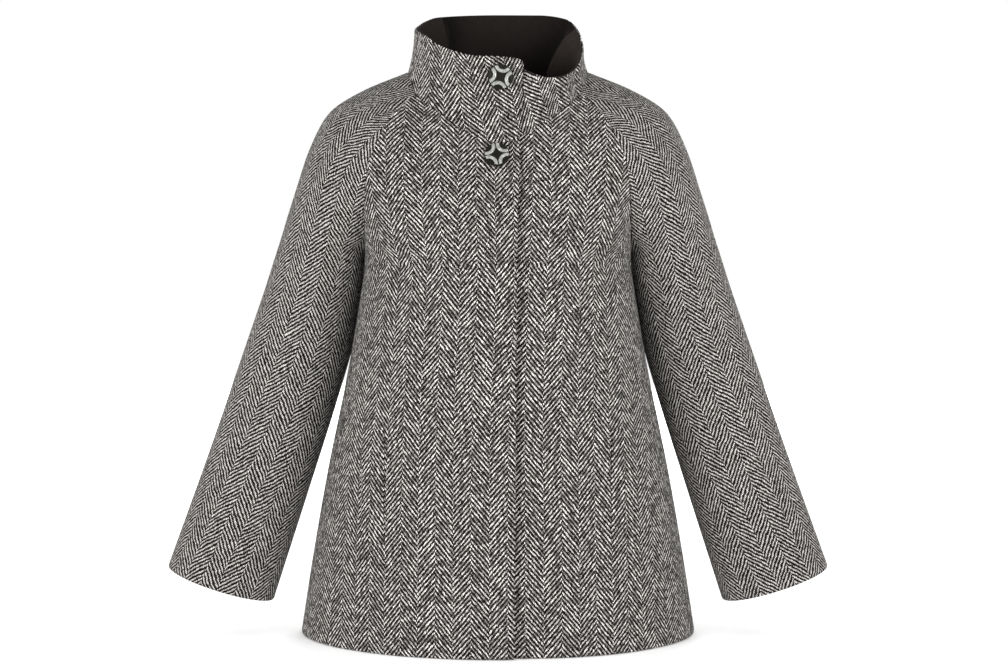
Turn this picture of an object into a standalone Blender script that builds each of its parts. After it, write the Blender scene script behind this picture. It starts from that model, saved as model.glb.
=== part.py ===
"""A wool swing jacket with a funnel collar and raglan sleeves, filled out and hollow.

Metres, +Z up. The coat faces -Y, so the wearer's right side is at -X and its front laps over the left.
The origin is in the middle of the neck, level with the tops of the shoulders, where the coat is held.

Every panel is worked out as rows of points on its outer face. A row follows one section of the garment,
and the sections come from the short tables below. The wall is then built inwards from those points.
"""

import math
from collections import namedtuple

import bmesh
import bpy
import numpy as np
from mathutils import Matrix, Vector

# Cloth
WALL = 0.003
FACING_WALL = 0.0015
WELT_WALL = 0.002
SEAM_GAP = 0.0003

# Levels of the body: -1 at the hem, 0 at the armpits, 1 at the neck
HEM_HEIGHT = -0.6725
ARMPIT_HEIGHT = -0.228
SKIRT_ROWS = 11
YOKE_ROWS = 9
FRONT_COLUMNS = 12
BACK_COLUMNS = 22
LEVEL_RISE_POWER = 1.6

# Lap of the fronts: how far each edge passes the centre line, and how far the layers part there
OVERLAP_HEM = 0.019
OVERLAP_NECK = 0.025
LAP_LIFT = 0.0030
LAP_FLAT_TO = 0.030
LAP_FADES_BY = 0.090

# Neckline, an egg seen from above; angles run from the front centre to the back centre
NECK_HALF_WIDTH = 0.107
NECK_FRONT = 0.092
NECK_BACK = 0.080
FRONT_SEAM_ANGLE = 64.0
BACK_SEAM_ANGLE = 128.0
NECK_PULL_FROM = 0.45

# Sleeves: lengths along the ridge from the armpit section, up to the neck and down to the cuff
YOKE_LENGTH = 0.266
SLEEVE_LENGTH = 0.411
SLEEVE_ROWS = 11
SLEEVE_HALF_COLUMNS = 11

# Collar: "round" runs from the front centre over the wearer's right, the back and the left to the front
COLLAR_START = -13.5
COLLAR_END = 373.0
COLLAR_COLUMNS = 66
COLLAR_ROWS = 5
COLLAR_HOLLOW = 0.002
COLLAR_END_SLANT = 4.5
COLLAR_SLANT_FADES_IN = 35.0
FACING_FOOT = 0.03
FACING_END_INSET = 0.001

# Pocket welts, upright strips on the fronts
WELT_NEAR = 0.130
WELT_FAR = 0.157
WELT_TOP = -0.418
WELT_FOOT = -0.548
WELT_COLUMNS = 3
WELT_ROWS = 8

# Buttons
BUTTON_RADIUS = 0.0148
BUTTON_THICKNESS = 0.0032
COLLAR_BUTTON_STAND = 0.0012
NECK_BUTTON_STAND = 0.0030
BUTTON_SIDES = 32
BUTTON_EASED_EDGE = 0.0009
CRESCENT_COUNT = 4
CRESCENT_OUT = 0.0155
CRESCENT_RADIUS = 0.0085
CRESCENT_SWEEP = 62.0
CRESCENT_HALF_WIDTH = 0.0021
CRESCENT_HEIGHT = 0.0017
CRESCENT_TAPER = 0.94
CRESCENT_STEPS = 10
CRESCENT_SIDES = 6
COLLAR_BUTTON_ROUND = 0.4
COLLAR_BUTTON_SHARE = 0.76
NECK_BUTTON_LEVEL = 0.888
COLLAR_BUTTON_HEADING = -14.0
NECK_BUTTON_HEADING = 50.0

SHARP_ANGLE = math.radians(40.0)

Section = namedtuple("Section", "centre_y centre_z seam_out seam_y seam_z fan")
Shell = namedtuple("Shell", "points faces normals")


class Table:
    """Rows of named columns, read at any station of the first column by a curve that never overshoots."""

    def __init__(self, columns, rows):
        self.columns = columns.split()
        self.rows = np.array(sorted(rows), float)

    def read(self, column, station):
        stations = self.rows[:, 0]
        values = self.rows[:, self.columns.index(column)]
        slopes = steady_slopes(stations, values)
        at = np.clip(station, stations[0], stations[-1])
        low = np.clip(np.searchsorted(stations, at) - 1, 0, len(stations) - 2)
        span = stations[low + 1] - stations[low]
        s = (at - stations[low]) / span
        return (values[low] * (1 + 2 * s) * (1 - s) ** 2 + slopes[low] * span * s * (1 - s) ** 2
                + values[low + 1] * s * s * (3 - 2 * s) + slopes[low + 1] * span * s * s * (s - 1))


def steady_slopes(stations, values):
    """Slopes at each row for a cubic that rises and falls only where the rows do."""
    steps = np.diff(stations)
    rises = np.diff(values) / steps
    slopes = np.zeros_like(values)
    slopes[0], slopes[-1] = rises[0], rises[-1]
    for i in range(1, len(values) - 1):
        if rises[i - 1] * rises[i] > 0:
            before = 2 * steps[i] + steps[i - 1]
            after = steps[i] + 2 * steps[i - 1]
            slopes[i] = (before + after) / (before / rises[i - 1] + after / rises[i])
    return slopes


# Skirt below the armpits: half width at the side seams, and depth at the front and back centre lines
SKIRT = Table("height half_width front back", [
    (-0.6725, 0.2372, 0.175, 0.167),
    (-0.588, 0.2240, 0.170, 0.160),
    (-0.480, 0.2050, 0.164, 0.151),
    (-0.340, 0.1765, 0.153, 0.136),
    (-0.228, 0.1580, 0.140, 0.123),
])

# Centre lines above the armpits, and how far round its ellipse each half section fans out
YOKE = Table("level front_y front_z front_fan back_y back_z back_fan", [
    (0.00, -0.140, -0.228, 90.0, 0.123, -0.228, 90.0),
    (0.10, -0.139, -0.214, 80.0, 0.1235, -0.202, 80.0),
    (0.25, -0.135, -0.193, 64.0, 0.1230, -0.166, 64.0),
    (0.50, -0.124, -0.158, 55.0, 0.1170, -0.114, 57.0),
    (0.75, -0.109, -0.123, 54.0, 0.1030, -0.062, 55.0),
    (1.00, -0.092, -0.089, 58.0, 0.0800, -0.013, 52.0),
])

# Sleeve sections from neck to cuff. A section runs from its front edge over the ridge to its back edge.
# An edge turn of -90 closes the section into a ring, at the armpit and below.
SLEEVE = Table(
    "along ridge_out ridge_z front_out front_z front_turn back_out back_z back_turn "
    "front_depth back_depth ridge_y edge_y", [
        (0.266, 0.1070, -0.002, 0.0960, -0.029, 25.0, 0.0840, -0.009, 25.0, 0.0485, 0.050, 0.004, 0.004),
        (0.206, 0.1632, -0.025, 0.1210, -0.054, 25.0, 0.1080, -0.033, 22.0, 0.088, 0.084, 0.008, 0.008),
        (0.160, 0.2015, -0.050, 0.1375, -0.082, 29.0, 0.1280, -0.061, 18.0, 0.113, 0.0915, 0.011, 0.011),
        (0.110, 0.2255, -0.093, 0.1500, -0.115, 12.0, 0.1460, -0.100, 5.0, 0.106, 0.0885, 0.013, 0.012),
        (0.060, 0.2420, -0.141, 0.1550, -0.159, -15.0, 0.1550, -0.150, -15.0, 0.088, 0.082, 0.014, 0.010),
        (0.025, 0.2525, -0.173, 0.1570, -0.199, -45.0, 0.1575, -0.196, -45.0, 0.0735, 0.0735, 0.015, 0.007),
        (0.000, 0.2605, -0.199, 0.1605, -0.229, -90.0, 0.1605, -0.229, -90.0, 0.063, 0.064, 0.015, 0.004),
        (-0.030, 0.2700, -0.228, 0.1640, -0.260, -90.0, 0.1640, -0.260, -90.0, 0.066, 0.061, 0.015, 0.018),
        (-0.060, 0.2790, -0.256, 0.1680, -0.290, -90.0, 0.1680, -0.290, -90.0, 0.062, 0.059, 0.015, 0.022),
        (-0.100, 0.2920, -0.294, 0.1755, -0.330, -90.0, 0.1755, -0.330, -90.0, 0.059, 0.057, 0.013, 0.021),
        (-0.140, 0.3050, -0.332, 0.1865, -0.370, -90.0, 0.1865, -0.370, -90.0, 0.057, 0.056, 0.010, 0.016),
        (-0.280, 0.3500, -0.464, 0.2280, -0.503, -90.0, 0.2280, -0.503, -90.0, 0.056, 0.055, -0.004, -0.004),
        (-0.411, 0.3950, -0.591, 0.2690, -0.632, -90.0, 0.2690, -0.631, -90.0, 0.057, 0.056, -0.020, -0.020),
    ])

# Height of the neckline seam at each angle from the front centre
NECKLINE = Table("angle height", [
    (0.0, -0.089),
    (15.0, -0.080),
    (30.0, -0.063),
    (60.0, -0.033),
    (90.0, -0.002),
    (112.0, -0.006),
    (135.0, -0.010),
    (180.0, -0.013),
])

# Collar rim round the neck: its height, and how far it leans out from the seam below it.
# The lower left front sags open below the lap.
COLLAR_RIM = Table("round height lean", [
    (-18.0, 0.0040, -0.0075),
    (-15.0, 0.0085, -0.0075),
    (0.0, 0.0115, -0.0075),
    (15.0, 0.0125, -0.0075),
    (30.0, 0.0180, -0.0080),
    (45.0, 0.0265, -0.0080),
    (60.0, 0.0385, -0.0075),
    (80.0, 0.0470, -0.0075),
    (100.0, 0.0525, -0.0075),
    (115.0, 0.0600, -0.0085),
    (132.0, 0.0665, -0.0080),
    (180.0, 0.0710, -0.0055),
    (210.0, 0.0700, -0.0045),
    (232.0, 0.0645, -0.0025),
    (250.0, 0.0500, -0.0035),
    (262.0, 0.0360, -0.0045),
    (276.0, 0.0210, -0.0045),
    (290.0, 0.0090, -0.0020),
    (305.0, -0.0040, 0.0025),
    (318.0, -0.0115, 0.0050),
    (328.0, -0.0130, 0.0045),
    (338.0, -0.0070, -0.0035),
    (346.0, 0.0000, -0.0075),
    (355.0, 0.0050, -0.0075),
    (373.0, 0.0080, -0.0075),
])

# Soft flutes of the skirt, on the wearer's right (positive round) and left: where, how wide, how deep
# at the hem (out is positive), and the level where each one fades out
FLUTES = [
    {"round": 26.0, "spread": 15.0, "depth": 0.0018, "top": -0.45},
    {"round": -34.0, "spread": 17.0, "depth": 0.0015, "top": -0.50},
    {"round": 118.0, "spread": 13.0, "depth": -0.0050, "top": -0.30},
    {"round": 139.0, "spread": 12.0, "depth": 0.0070, "top": -0.15},
    {"round": 160.0, "spread": 11.0, "depth": -0.0055, "top": -0.30},
    {"round": 181.0, "spread": 12.0, "depth": 0.0045, "top": -0.40},
    {"round": -156.0, "spread": 12.0, "depth": -0.0060, "top": -0.25},
    {"round": -134.0, "spread": 13.0, "depth": 0.0060, "top": -0.20},
    {"round": -112.0, "spread": 13.0, "depth": -0.0045, "top": -0.40},
]


def smooth(low, high, value):
    """Eased share of the way from low to high."""
    share = np.clip((value - low) / (high - low), 0.0, 1.0)
    return share * share * (3.0 - 2.0 * share)


# Sections of the body

def neck_point(angle):
    """Neckline seam at an angle from the front centre, as (out, y, z)."""
    radians = np.radians(angle)
    depth = np.where(np.cos(radians) > 0, NECK_FRONT, NECK_BACK)
    folded = 180.0 - np.abs(180.0 - np.abs(angle))
    return np.stack([NECK_HALF_WIDTH * np.sin(radians), -depth * np.cos(radians),
                     NECKLINE.read("height", folded)], axis=-1)


def raglan_point(face, along):
    """Raglan seam on the front or back face at a length above the armpit, as (out, y, z)."""
    sign = -1.0 if face == "front" else 1.0
    turn = math.radians(SLEEVE.read(face + "_turn", along))
    y = SLEEVE.read("edge_y", along) + sign * SLEEVE.read(face + "_depth", along) * math.cos(turn)
    return SLEEVE.read(face + "_out", along), y, SLEEVE.read(face + "_z", along)


def body_section(face, level):
    """Half section of the front or back at a level, from the centre line to its seam."""
    sign = -1.0 if face == "front" else 1.0
    if level <= 0.0:
        height = ARMPIT_HEIGHT + (ARMPIT_HEIGHT - HEM_HEIGHT) * level
        half_width = SKIRT.read("half_width", height)
        return Section(sign * SKIRT.read(face, height), height, half_width, 0.0, height, math.pi / 2)
    seam_out, seam_y, seam_z = raglan_point(face, level * YOKE_LENGTH)
    return Section(YOKE.read(face + "_y", level), YOKE.read(face + "_z", level), seam_out, seam_y, seam_z,
                   math.radians(YOKE.read(face + "_fan", level)))


def section_points(section, turns):
    """Points of a section, an ellipse cut off where it meets its seam, as (out, y, z)."""
    out = section.seam_out * np.sin(turns) / math.sin(section.fan)
    back = (1.0 - np.cos(turns)) / (1.0 - math.cos(section.fan))
    rise = np.abs(turns / section.fan) ** LEVEL_RISE_POWER
    return np.stack([out, section.centre_y + (section.seam_y - section.centre_y) * back,
                     section.centre_z + (section.seam_z - section.centre_z) * rise], axis=-1)


def flute_depth(rounds, level):
    """How far the skirt's flutes move its face out, at angles round the body and a level."""
    depth = np.zeros_like(rounds)
    for flute in FLUTES:
        away = (rounds - flute["round"] + 180.0) % 360.0 - 180.0
        fade = smooth(flute["top"], -1.0, level)
        depth += flute["depth"] * fade * np.exp(-(away / flute["spread"]) ** 2 * 2.0)
    return depth


def pulled_to_neck(face, level, points, turns_at, angles):
    """Eases the upper rows so that the last one lies on the neckline."""
    pull = smooth(NECK_PULL_FROM, 1.0, level)
    if pull == 0.0:
        return points
    top = body_section(face, 1.0)
    return points + pull * (neck_point(angles) - section_points(top, turns_at(top)))


def front_row(side, level, shares):
    """Outer face of a front along a level, from its front edge (share 0) to its seam (share 1)."""
    def turns_at(section):
        overlap = OVERLAP_HEM + (OVERLAP_NECK - OVERLAP_HEM) * (level + 1.0) / 2.0
        edge = -math.asin(overlap * math.sin(section.fan) / section.seam_out)
        return edge + (section.fan - edge) * shares

    section = body_section("front", level)
    turns = turns_at(section)
    points = section_points(section, turns)
    edge_angle = -math.degrees(math.asin(OVERLAP_NECK / NECK_HALF_WIDTH))
    angles = edge_angle + (FRONT_SEAM_ANGLE - edge_angle) * shares
    points = pulled_to_neck("front", level, points, turns_at, angles)
    depth = flute_depth(-side * np.degrees(turns), level)
    points[:, 0] += depth * np.sin(turns)
    points[:, 1] -= depth * np.cos(turns) - side * lap_lift(points[:, 0])
    points[:, 0] *= side
    return points


def lap_lift(out):
    """How far a front is parted from the middle of the lap, at a distance out from the centre line."""
    return LAP_LIFT * (1.0 - smooth(LAP_FLAT_TO, LAP_FADES_BY, out))


def back_row(level, shares):
    """Outer face of the back along a level, from the wearer's right seam to the left one."""
    def turns_at(section):
        return section.fan * (2.0 * shares - 1.0)

    section = body_section("back", level)
    turns = turns_at(section)
    points = section_points(section, turns)
    angles = 180.0 + (180.0 - BACK_SEAM_ANGLE) * (1.0 - 2.0 * shares)
    points = pulled_to_neck("back", level, points, turns_at, angles)
    depth = flute_depth(180.0 + np.degrees(turns), level)
    points[:, 0] += depth * np.sin(turns)
    points[:, 1] += depth * np.cos(turns)
    return points


def body_levels():
    skirt = np.linspace(-1.0, 0.0, SKIRT_ROWS + 1)
    yoke = np.linspace(0.0, 1.0, YOKE_ROWS + 1)
    return np.concatenate([skirt, yoke[1:]])


# Sections of the sleeve

def half_sleeve(face, along, shares):
    """Half of a sleeve section, from its edge (share 0) to the ridge (share 1), as (out, y, z)."""
    sign = -1.0 if face == "front" else 1.0
    edge_turn = math.radians(SLEEVE.read(face + "_turn", along))
    turns = edge_turn + (math.pi / 2 - edge_turn) * shares
    lean = math.sin(edge_turn)
    ridge = np.array([SLEEVE.read(column, along) for column in ("ridge_out", "ridge_y", "ridge_z")])
    edge = np.array([SLEEVE.read(column, along) for column in (face + "_out", "edge_y", face + "_z")])
    centre = (edge - ridge * lean) / (1.0 - lean)
    points = centre + np.sin(turns)[:, None] * (ridge - centre)
    points[:, 1] += sign * SLEEVE.read(face + "_depth", along) * np.cos(turns)
    return points


def sleeve_row(side, along, half_shares):
    """Outer face of a sleeve at a length from the armpit: front edge, over the ridge, to the back edge."""
    front = half_sleeve("front", along, half_shares)
    back = half_sleeve("back", along, half_shares)
    pull = smooth(NECK_PULL_FROM, 1.0, along / YOKE_LENGTH)
    if pull > 0.0:
        front_angles = FRONT_SEAM_ANGLE + (90.0 - FRONT_SEAM_ANGLE) * half_shares
        back_angles = BACK_SEAM_ANGLE + (90.0 - BACK_SEAM_ANGLE) * half_shares
        front += pull * (neck_point(front_angles) - half_sleeve("front", YOKE_LENGTH, half_shares))
        back += pull * (neck_point(back_angles) - half_sleeve("back", YOKE_LENGTH, half_shares))
    points = np.concatenate([front, back[-2::-1]])
    points[:, 0] *= side
    return points


# Sections of the collar

def collar_row(share, rounds):
    """Outer face of the collar round the neck, at a share of the way from its seam to its rim."""
    slant = 1.0 - smooth(COLLAR_START, COLLAR_START + COLLAR_SLANT_FADES_IN, rounds)
    rounds = rounds - COLLAR_END_SLANT * share * slant
    radians = np.radians(rounds)
    foot = neck_point(rounds % 360.0)
    foot[:, 0] *= -1.0
    over = np.where(rounds < 90.0, -1.0, np.where(rounds > 270.0, 1.0, 0.0))
    foot[:, 1] += over * lap_lift(np.where(rounds < 90.0, -foot[:, 0], foot[:, 0]))
    outward = np.stack([-np.sin(radians), -np.cos(radians), np.zeros_like(radians)], axis=-1)
    rim = foot + outward * COLLAR_RIM.read("lean", rounds)[:, None]
    rim[:, 2] = COLLAR_RIM.read("height", rounds)
    hollow = COLLAR_HOLLOW * 4.0 * share * (1.0 - share)
    return foot + (rim - foot) * share - outward * hollow


# Walls

def grid_faces(rows, columns):
    """Vertex numbers of a grid, and its four-sided faces."""
    numbers = np.arange(rows * columns).reshape(rows, columns)
    faces = [(numbers[r, c], numbers[r, c + 1], numbers[r + 1, c + 1], numbers[r + 1, c])
             for r in range(rows - 1) for c in range(columns - 1)]
    return np.array(faces)


def shell_of(points, faces, inside):
    """A sheet with its faces turned away from a point inside, and its normals."""
    corners = points[faces]
    face_normals = np.cross(corners[:, 2] - corners[:, 0], corners[:, 3] - corners[:, 1])
    outwards = np.sum(face_normals * (corners.mean(axis=1) - inside))
    if outwards < 0:
        faces = faces[:, ::-1]
        face_normals = -face_normals
    normals = np.zeros_like(points)
    for corner in range(faces.shape[1]):
        np.add.at(normals, faces[:, corner], face_normals)
    normals /= np.linalg.norm(normals, axis=1)[:, None]
    return Shell(points, faces, normals)


def grid_shell(grid, inside):
    rows, columns = grid.shape[:2]
    return shell_of(grid.reshape(-1, 3), grid_faces(rows, columns), inside)


def drawn_in(line, neighbours, distance):
    """A line of edge points moved a small distance towards the next line."""
    step = neighbours - line
    return line + step * (distance / np.linalg.norm(step, axis=-1, keepdims=True))


def boundary_edges(faces):
    """Edges used by one face only, each in that face's own direction."""
    edges = {(int(a), int(b)) for face in faces for a, b in zip(face, np.roll(face, -1))}
    return [(a, b) for a, b in edges if (b, a) not in edges]


def walled(shell, wall, outside=0.0):
    """Points and faces of a closed wall between two offsets of a sheet.

    Walls that lie side by side are split into triangles the same way, so that twisted ones keep their gap.
    """
    count = len(shell.points)
    outer = shell.points + shell.normals * outside
    inner = outer - shell.normals * wall
    faces = []
    for a, b, c, d in shell.faces.tolist():
        faces += [(a, b, c), (a, c, d)]
        faces += [(c + count, b + count, a + count), (d + count, c + count, a + count)]
    for a, b in sorted(boundary_edges(shell.faces)):
        if outer[a][2] < outer[b][2]:
            faces += [(b, a, b + count), (a, a + count, b + count)]
        else:
            faces += [(b, a, a + count), (b, a + count, b + count)]
    return np.concatenate([outer, inner]), faces


def seam_normals(shells):
    """Turns the walls on both sides of a smooth seam the same way, so that their edges meet evenly."""
    meeting = {}
    for name, shell in shells.items():
        for number in {number for edge in boundary_edges(shell.faces) for number in edge}:
            place = tuple(np.round(shell.points[number], 6))
            meeting.setdefault(place, []).append((name, number))
    for members in meeting.values():
        own = np.array([shells[name].normals[number] for name, number in members])
        for (name, number), normal in zip(members, own):
            agree = smooth(0.2, 0.6, own @ normal)
            blend = (own * agree[:, None]).sum(axis=0)
            shells[name].normals[number] = blend / np.linalg.norm(blend)


# Objects

def material_of(name, colour, roughness, metallic=0.0):
    material = bpy.data.materials.get(name) or bpy.data.materials.new(name)
    material.use_nodes = True
    shader = material.node_tree.nodes["Principled BSDF"]
    shader.inputs["Base Color"].default_value = (*colour, 1.0)
    shader.inputs["Roughness"].default_value = roughness
    shader.inputs["Metallic"].default_value = metallic
    return material


def tweed():
    return material_of("herringbone_wool", (0.19, 0.18, 0.17), 0.9)


def black_cloth():
    return material_of("black_facing", (0.012, 0.010, 0.010), 0.85)


def black_horn():
    return material_of("black_button", (0.010, 0.010, 0.009), 0.3)


def pale_resin():
    return material_of("grey_inlay", (0.36, 0.37, 0.33), 0.25)


def add_object(name, points, faces, material):
    mesh = bpy.data.meshes.new(name)
    mesh.from_pydata([tuple(point) for point in points], [], faces)
    mesh.materials.append(material)
    mesh.shade_smooth()
    mesh.set_sharp_from_angle(angle=SHARP_ANGLE)
    thing = bpy.data.objects.new(name, mesh)
    bpy.context.collection.objects.link(thing)
    return thing


# Pieces

def front_grid(side):
    shares = np.linspace(0.0, 1.0, FRONT_COLUMNS + 1)
    return np.array([front_row(side, level, shares) for level in body_levels()])


def back_grid():
    shares = np.linspace(0.0, 1.0, BACK_COLUMNS + 1)
    return np.array([back_row(level, shares) for level in body_levels()])


def sleeve_shell(side):
    """A sleeve's outer sheet: open along the raglan seams, and closed underneath from the armpit down."""
    shares = np.linspace(0.0, 1.0, SLEEVE_HALF_COLUMNS + 1)
    upper = np.linspace(YOKE_LENGTH, 0.0, YOKE_ROWS + 1)
    lower = np.linspace(0.0, -SLEEVE_LENGTH, SLEEVE_ROWS + 1)
    grid = np.array([sleeve_row(side, along, shares) for along in np.concatenate([upper, lower[1:]])])
    rows, columns = grid.shape[:2]
    numbers = np.arange(rows * columns).reshape(rows, columns)
    numbers[YOKE_ROWS:, -1] = numbers[YOKE_ROWS:, 0]
    kept, renumbered = np.unique(numbers, return_inverse=True)
    faces = renumbered.ravel()[grid_faces(rows, columns)]
    points = grid.reshape(-1, 3)[kept]
    return shell_of(points, faces, points.mean(axis=0)), renumbered.reshape(rows, columns)


def part_edges(shells, sleeve_numbers):
    """Draws the sewn edges of the panels in by half a gap each, once their normals are settled."""
    half = SEAM_GAP / 2.0
    rows = len(body_levels())
    for name in ("front_right", "front_left"):
        grid = shells[name].points.reshape(rows, FRONT_COLUMNS + 1, 3)
        grid[:, -1] = drawn_in(grid[:, -1], grid[:, -2], half)
        grid[-1] = drawn_in(grid[-1], grid[-2], half)
    grid = shells["back"].points.reshape(rows, BACK_COLUMNS + 1, 3)
    grid[:, 0] = drawn_in(grid[:, 0], grid[:, 1], half)
    grid[:, -1] = drawn_in(grid[:, -1], grid[:, -2], half)
    grid[-1] = drawn_in(grid[-1], grid[-2], half)
    for name in ("sleeve_right", "sleeve_left"):
        points = shells[name].points
        seam = sleeve_numbers[:YOKE_ROWS]
        points[seam[:, 0]] = drawn_in(points[seam[:, 0]], points[seam[:, 1]], half)
        points[seam[:, -1]] = drawn_in(points[seam[:, -1]], points[seam[:, -2]], half)
        points[seam[0]] = drawn_in(points[seam[0]], points[seam[1]], half)


def build_panels():
    middle = np.array([0.0, 0.0, (HEM_HEIGHT + ARMPIT_HEIGHT) / 2.0])
    right_sleeve, sleeve_numbers = sleeve_shell(-1.0)
    left_sleeve, sleeve_numbers = sleeve_shell(1.0)
    shells = {
        "front_right": grid_shell(front_grid(-1.0), middle),
        "front_left": grid_shell(front_grid(1.0), middle),
        "back": grid_shell(back_grid(), middle),
        "sleeve_right": right_sleeve,
        "sleeve_left": left_sleeve,
    }
    seam_normals(shells)
    part_edges(shells, sleeve_numbers)
    for name, shell in shells.items():
        points, faces = walled(shell, WALL)
        add_object(name, points, faces, tweed())


def build_collar():
    """The collar, and the black facing made from its points above the foot, moved in."""
    rounds = np.linspace(COLLAR_START, COLLAR_END, COLLAR_COLUMNS + 1)
    shares = np.concatenate([[0.0], np.linspace(FACING_FOOT, 1.0, COLLAR_ROWS + 1)])
    grid = np.array([collar_row(share, rounds) for share in shares])
    grid[0] = drawn_in(grid[0], grid[1], SEAM_GAP)
    collar = grid_shell(grid, np.zeros(3))
    points, faces = walled(collar, WALL)
    add_object("collar", points, faces, tweed())

    lining = grid[1:].copy()
    lining[:, 0] = drawn_in(lining[:, 0], lining[:, 1], FACING_END_INSET)
    lining[:, -1] = drawn_in(lining[:, -1], lining[:, -2], FACING_END_INSET)
    normals = collar.normals.reshape(grid.shape)[1:]
    facing = Shell(lining.reshape(-1, 3), collar.faces[:lining[:-1, :-1].size // 3], normals.reshape(-1, 3))
    points, faces = walled(facing, FACING_WALL, outside=-(WALL + SEAM_GAP))
    add_object("collar_facing", points, faces, black_cloth())


def welt_point(side, out, height):
    """Outer face of a front at a distance out from the centre line and a height on the skirt."""
    level = (height - ARMPIT_HEIGHT) / (ARMPIT_HEIGHT - HEM_HEIGHT)
    section = body_section("front", level)
    turn = math.asin(out / section.seam_out)
    point = section_points(section, np.array([turn]))[0]
    depth = flute_depth(np.array([-side * math.degrees(turn)]), level)[0]
    return np.array([side * (point[0] + depth * math.sin(turn)), point[1] - depth * math.cos(turn), point[2]])


def build_welt(name, side):
    outs = np.linspace(WELT_NEAR, WELT_FAR, WELT_COLUMNS + 1)
    heights = np.linspace(WELT_FOOT, WELT_TOP, WELT_ROWS + 1)
    grid = np.array([[welt_point(side, out, height) for out in outs] for height in heights])
    sheet = grid_shell(grid, np.array([0.0, 0.0, WELT_TOP]))
    points, faces = walled(sheet, WELT_WALL, outside=WELT_WALL + 2.0 * SEAM_GAP)
    add_object(name, points, faces, tweed())


# Buttons

def frame_on(point, across, up, stand):
    """A frame standing off a face: X across, Y up the face and Z out of it."""
    x = Vector(across).normalized()
    z = x.cross(Vector(up)).normalized()
    y = z.cross(x)
    turn = Matrix((x, y, z)).transposed().to_4x4()
    return Matrix.Translation(Vector(point) + z * stand) @ turn


def collar_button_frame():
    step = 1.0
    rounds = np.array([COLLAR_BUTTON_ROUND + step, COLLAR_BUTTON_ROUND, COLLAR_BUTTON_ROUND - step])
    row = collar_row(COLLAR_BUTTON_SHARE, rounds)
    above = collar_row(1.0, rounds)
    return frame_on(row[1], row[2] - row[0], above[1] - row[1], COLLAR_BUTTON_STAND)


def neck_button_frame():
    step = 0.02
    section = body_section("front", NECK_BUTTON_LEVEL)
    edge = math.asin(OVERLAP_NECK * math.sin(section.fan) / section.seam_out)
    centre_share = edge / (section.fan + edge)
    shares = np.array([centre_share + step, centre_share, centre_share - step])
    row = front_row(-1.0, NECK_BUTTON_LEVEL, shares)
    above = front_row(-1.0, NECK_BUTTON_LEVEL + step, shares)
    return frame_on(row[1], row[2] - row[0], above[1] - row[1], NECK_BUTTON_STAND)


def build_button_disc(name, frame):
    """A round button with its edges eased by a Bevel modifier."""
    sketch = bmesh.new()
    bmesh.ops.create_cone(sketch, cap_ends=True, segments=BUTTON_SIDES, radius1=BUTTON_RADIUS,
                          radius2=BUTTON_RADIUS, depth=BUTTON_THICKNESS)
    bmesh.ops.translate(sketch, verts=sketch.verts, vec=(0.0, 0.0, BUTTON_THICKNESS / 2.0))
    mesh = bpy.data.meshes.new(name)
    sketch.to_mesh(mesh)
    sketch.free()
    mesh.materials.append(black_horn())
    mesh.shade_smooth()
    mesh.set_sharp_from_angle(angle=SHARP_ANGLE)
    disc = bpy.data.objects.new(name, mesh)
    bpy.context.collection.objects.link(disc)
    disc.matrix_world = frame
    bevel = disc.modifiers.new("eased_edge", "BEVEL")
    bevel.width = BUTTON_EASED_EDGE
    bevel.segments = 2
    bevel.limit_method = "ANGLE"


def build_crescent(name, frame, heading):
    """A raised crescent that bulges to the middle of the button: a half-round bar bent along an arc."""
    sweep = math.radians(CRESCENT_SWEEP)
    points = []
    for step in range(CRESCENT_STEPS + 1):
        share = 2.0 * step / CRESCENT_STEPS - 1.0
        bend = math.pi + share * sweep
        fullness = math.sqrt(1.0 - (CRESCENT_TAPER * share) ** 4)
        for corner in range(CRESCENT_SIDES):
            around = math.pi * corner / (CRESCENT_SIDES - 1)
            radius = CRESCENT_RADIUS + CRESCENT_HALF_WIDTH * fullness * math.cos(around)
            height = CRESCENT_HEIGHT * fullness * math.sin(around)
            points.append((CRESCENT_OUT + radius * math.cos(bend), radius * math.sin(bend), height))
    faces = []
    for step in range(CRESCENT_STEPS):
        for corner in range(CRESCENT_SIDES):
            following = (corner + 1) % CRESCENT_SIDES
            near, far = step * CRESCENT_SIDES, (step + 1) * CRESCENT_SIDES
            faces.append((near + corner, far + corner, far + following, near + following))
    faces.append(tuple(range(CRESCENT_SIDES)))
    last = CRESCENT_STEPS * CRESCENT_SIDES
    faces.append(tuple(range(last, last + CRESCENT_SIDES))[::-1])
    crescent = add_object(name, points, faces, pale_resin())
    lift = Matrix.Translation((0.0, 0.0, BUTTON_THICKNESS + SEAM_GAP))
    crescent.matrix_world = frame @ lift @ Matrix.Rotation(heading, 4, "Z")


def build_button(name, frame, first_heading):
    build_button_disc(name, frame)
    for number in range(CRESCENT_COUNT):
        heading = first_heading + number * math.tau / CRESCENT_COUNT
        build_crescent(f"{name}_inlay_{number + 1}", frame, heading)


def main():
    for thing in list(bpy.data.objects):
        bpy.data.objects.remove(thing)
    build_panels()
    build_collar()
    build_welt("pocket_welt_right", -1.0)
    build_welt("pocket_welt_left", 1.0)
    build_button("button_collar", collar_button_frame(), math.radians(COLLAR_BUTTON_HEADING))
    build_button("button_neck", neck_button_frame(), math.radians(NECK_BUTTON_HEADING))


main()
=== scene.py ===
"""Looks of the wool coat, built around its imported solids.

Metres, +Z up, in the frame of the solids: the coat faces -Y and the wearer's right side is at -X.
Each cloth piece repeats the cut of its solid on a finer grid, with soft edges, sewn seams and creases.
It is also laid flat, and the weave is drawn on that flat cut.
"""

import math
from collections import namedtuple

import bpy
import numpy as np
from mathutils import Matrix, Vector


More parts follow.
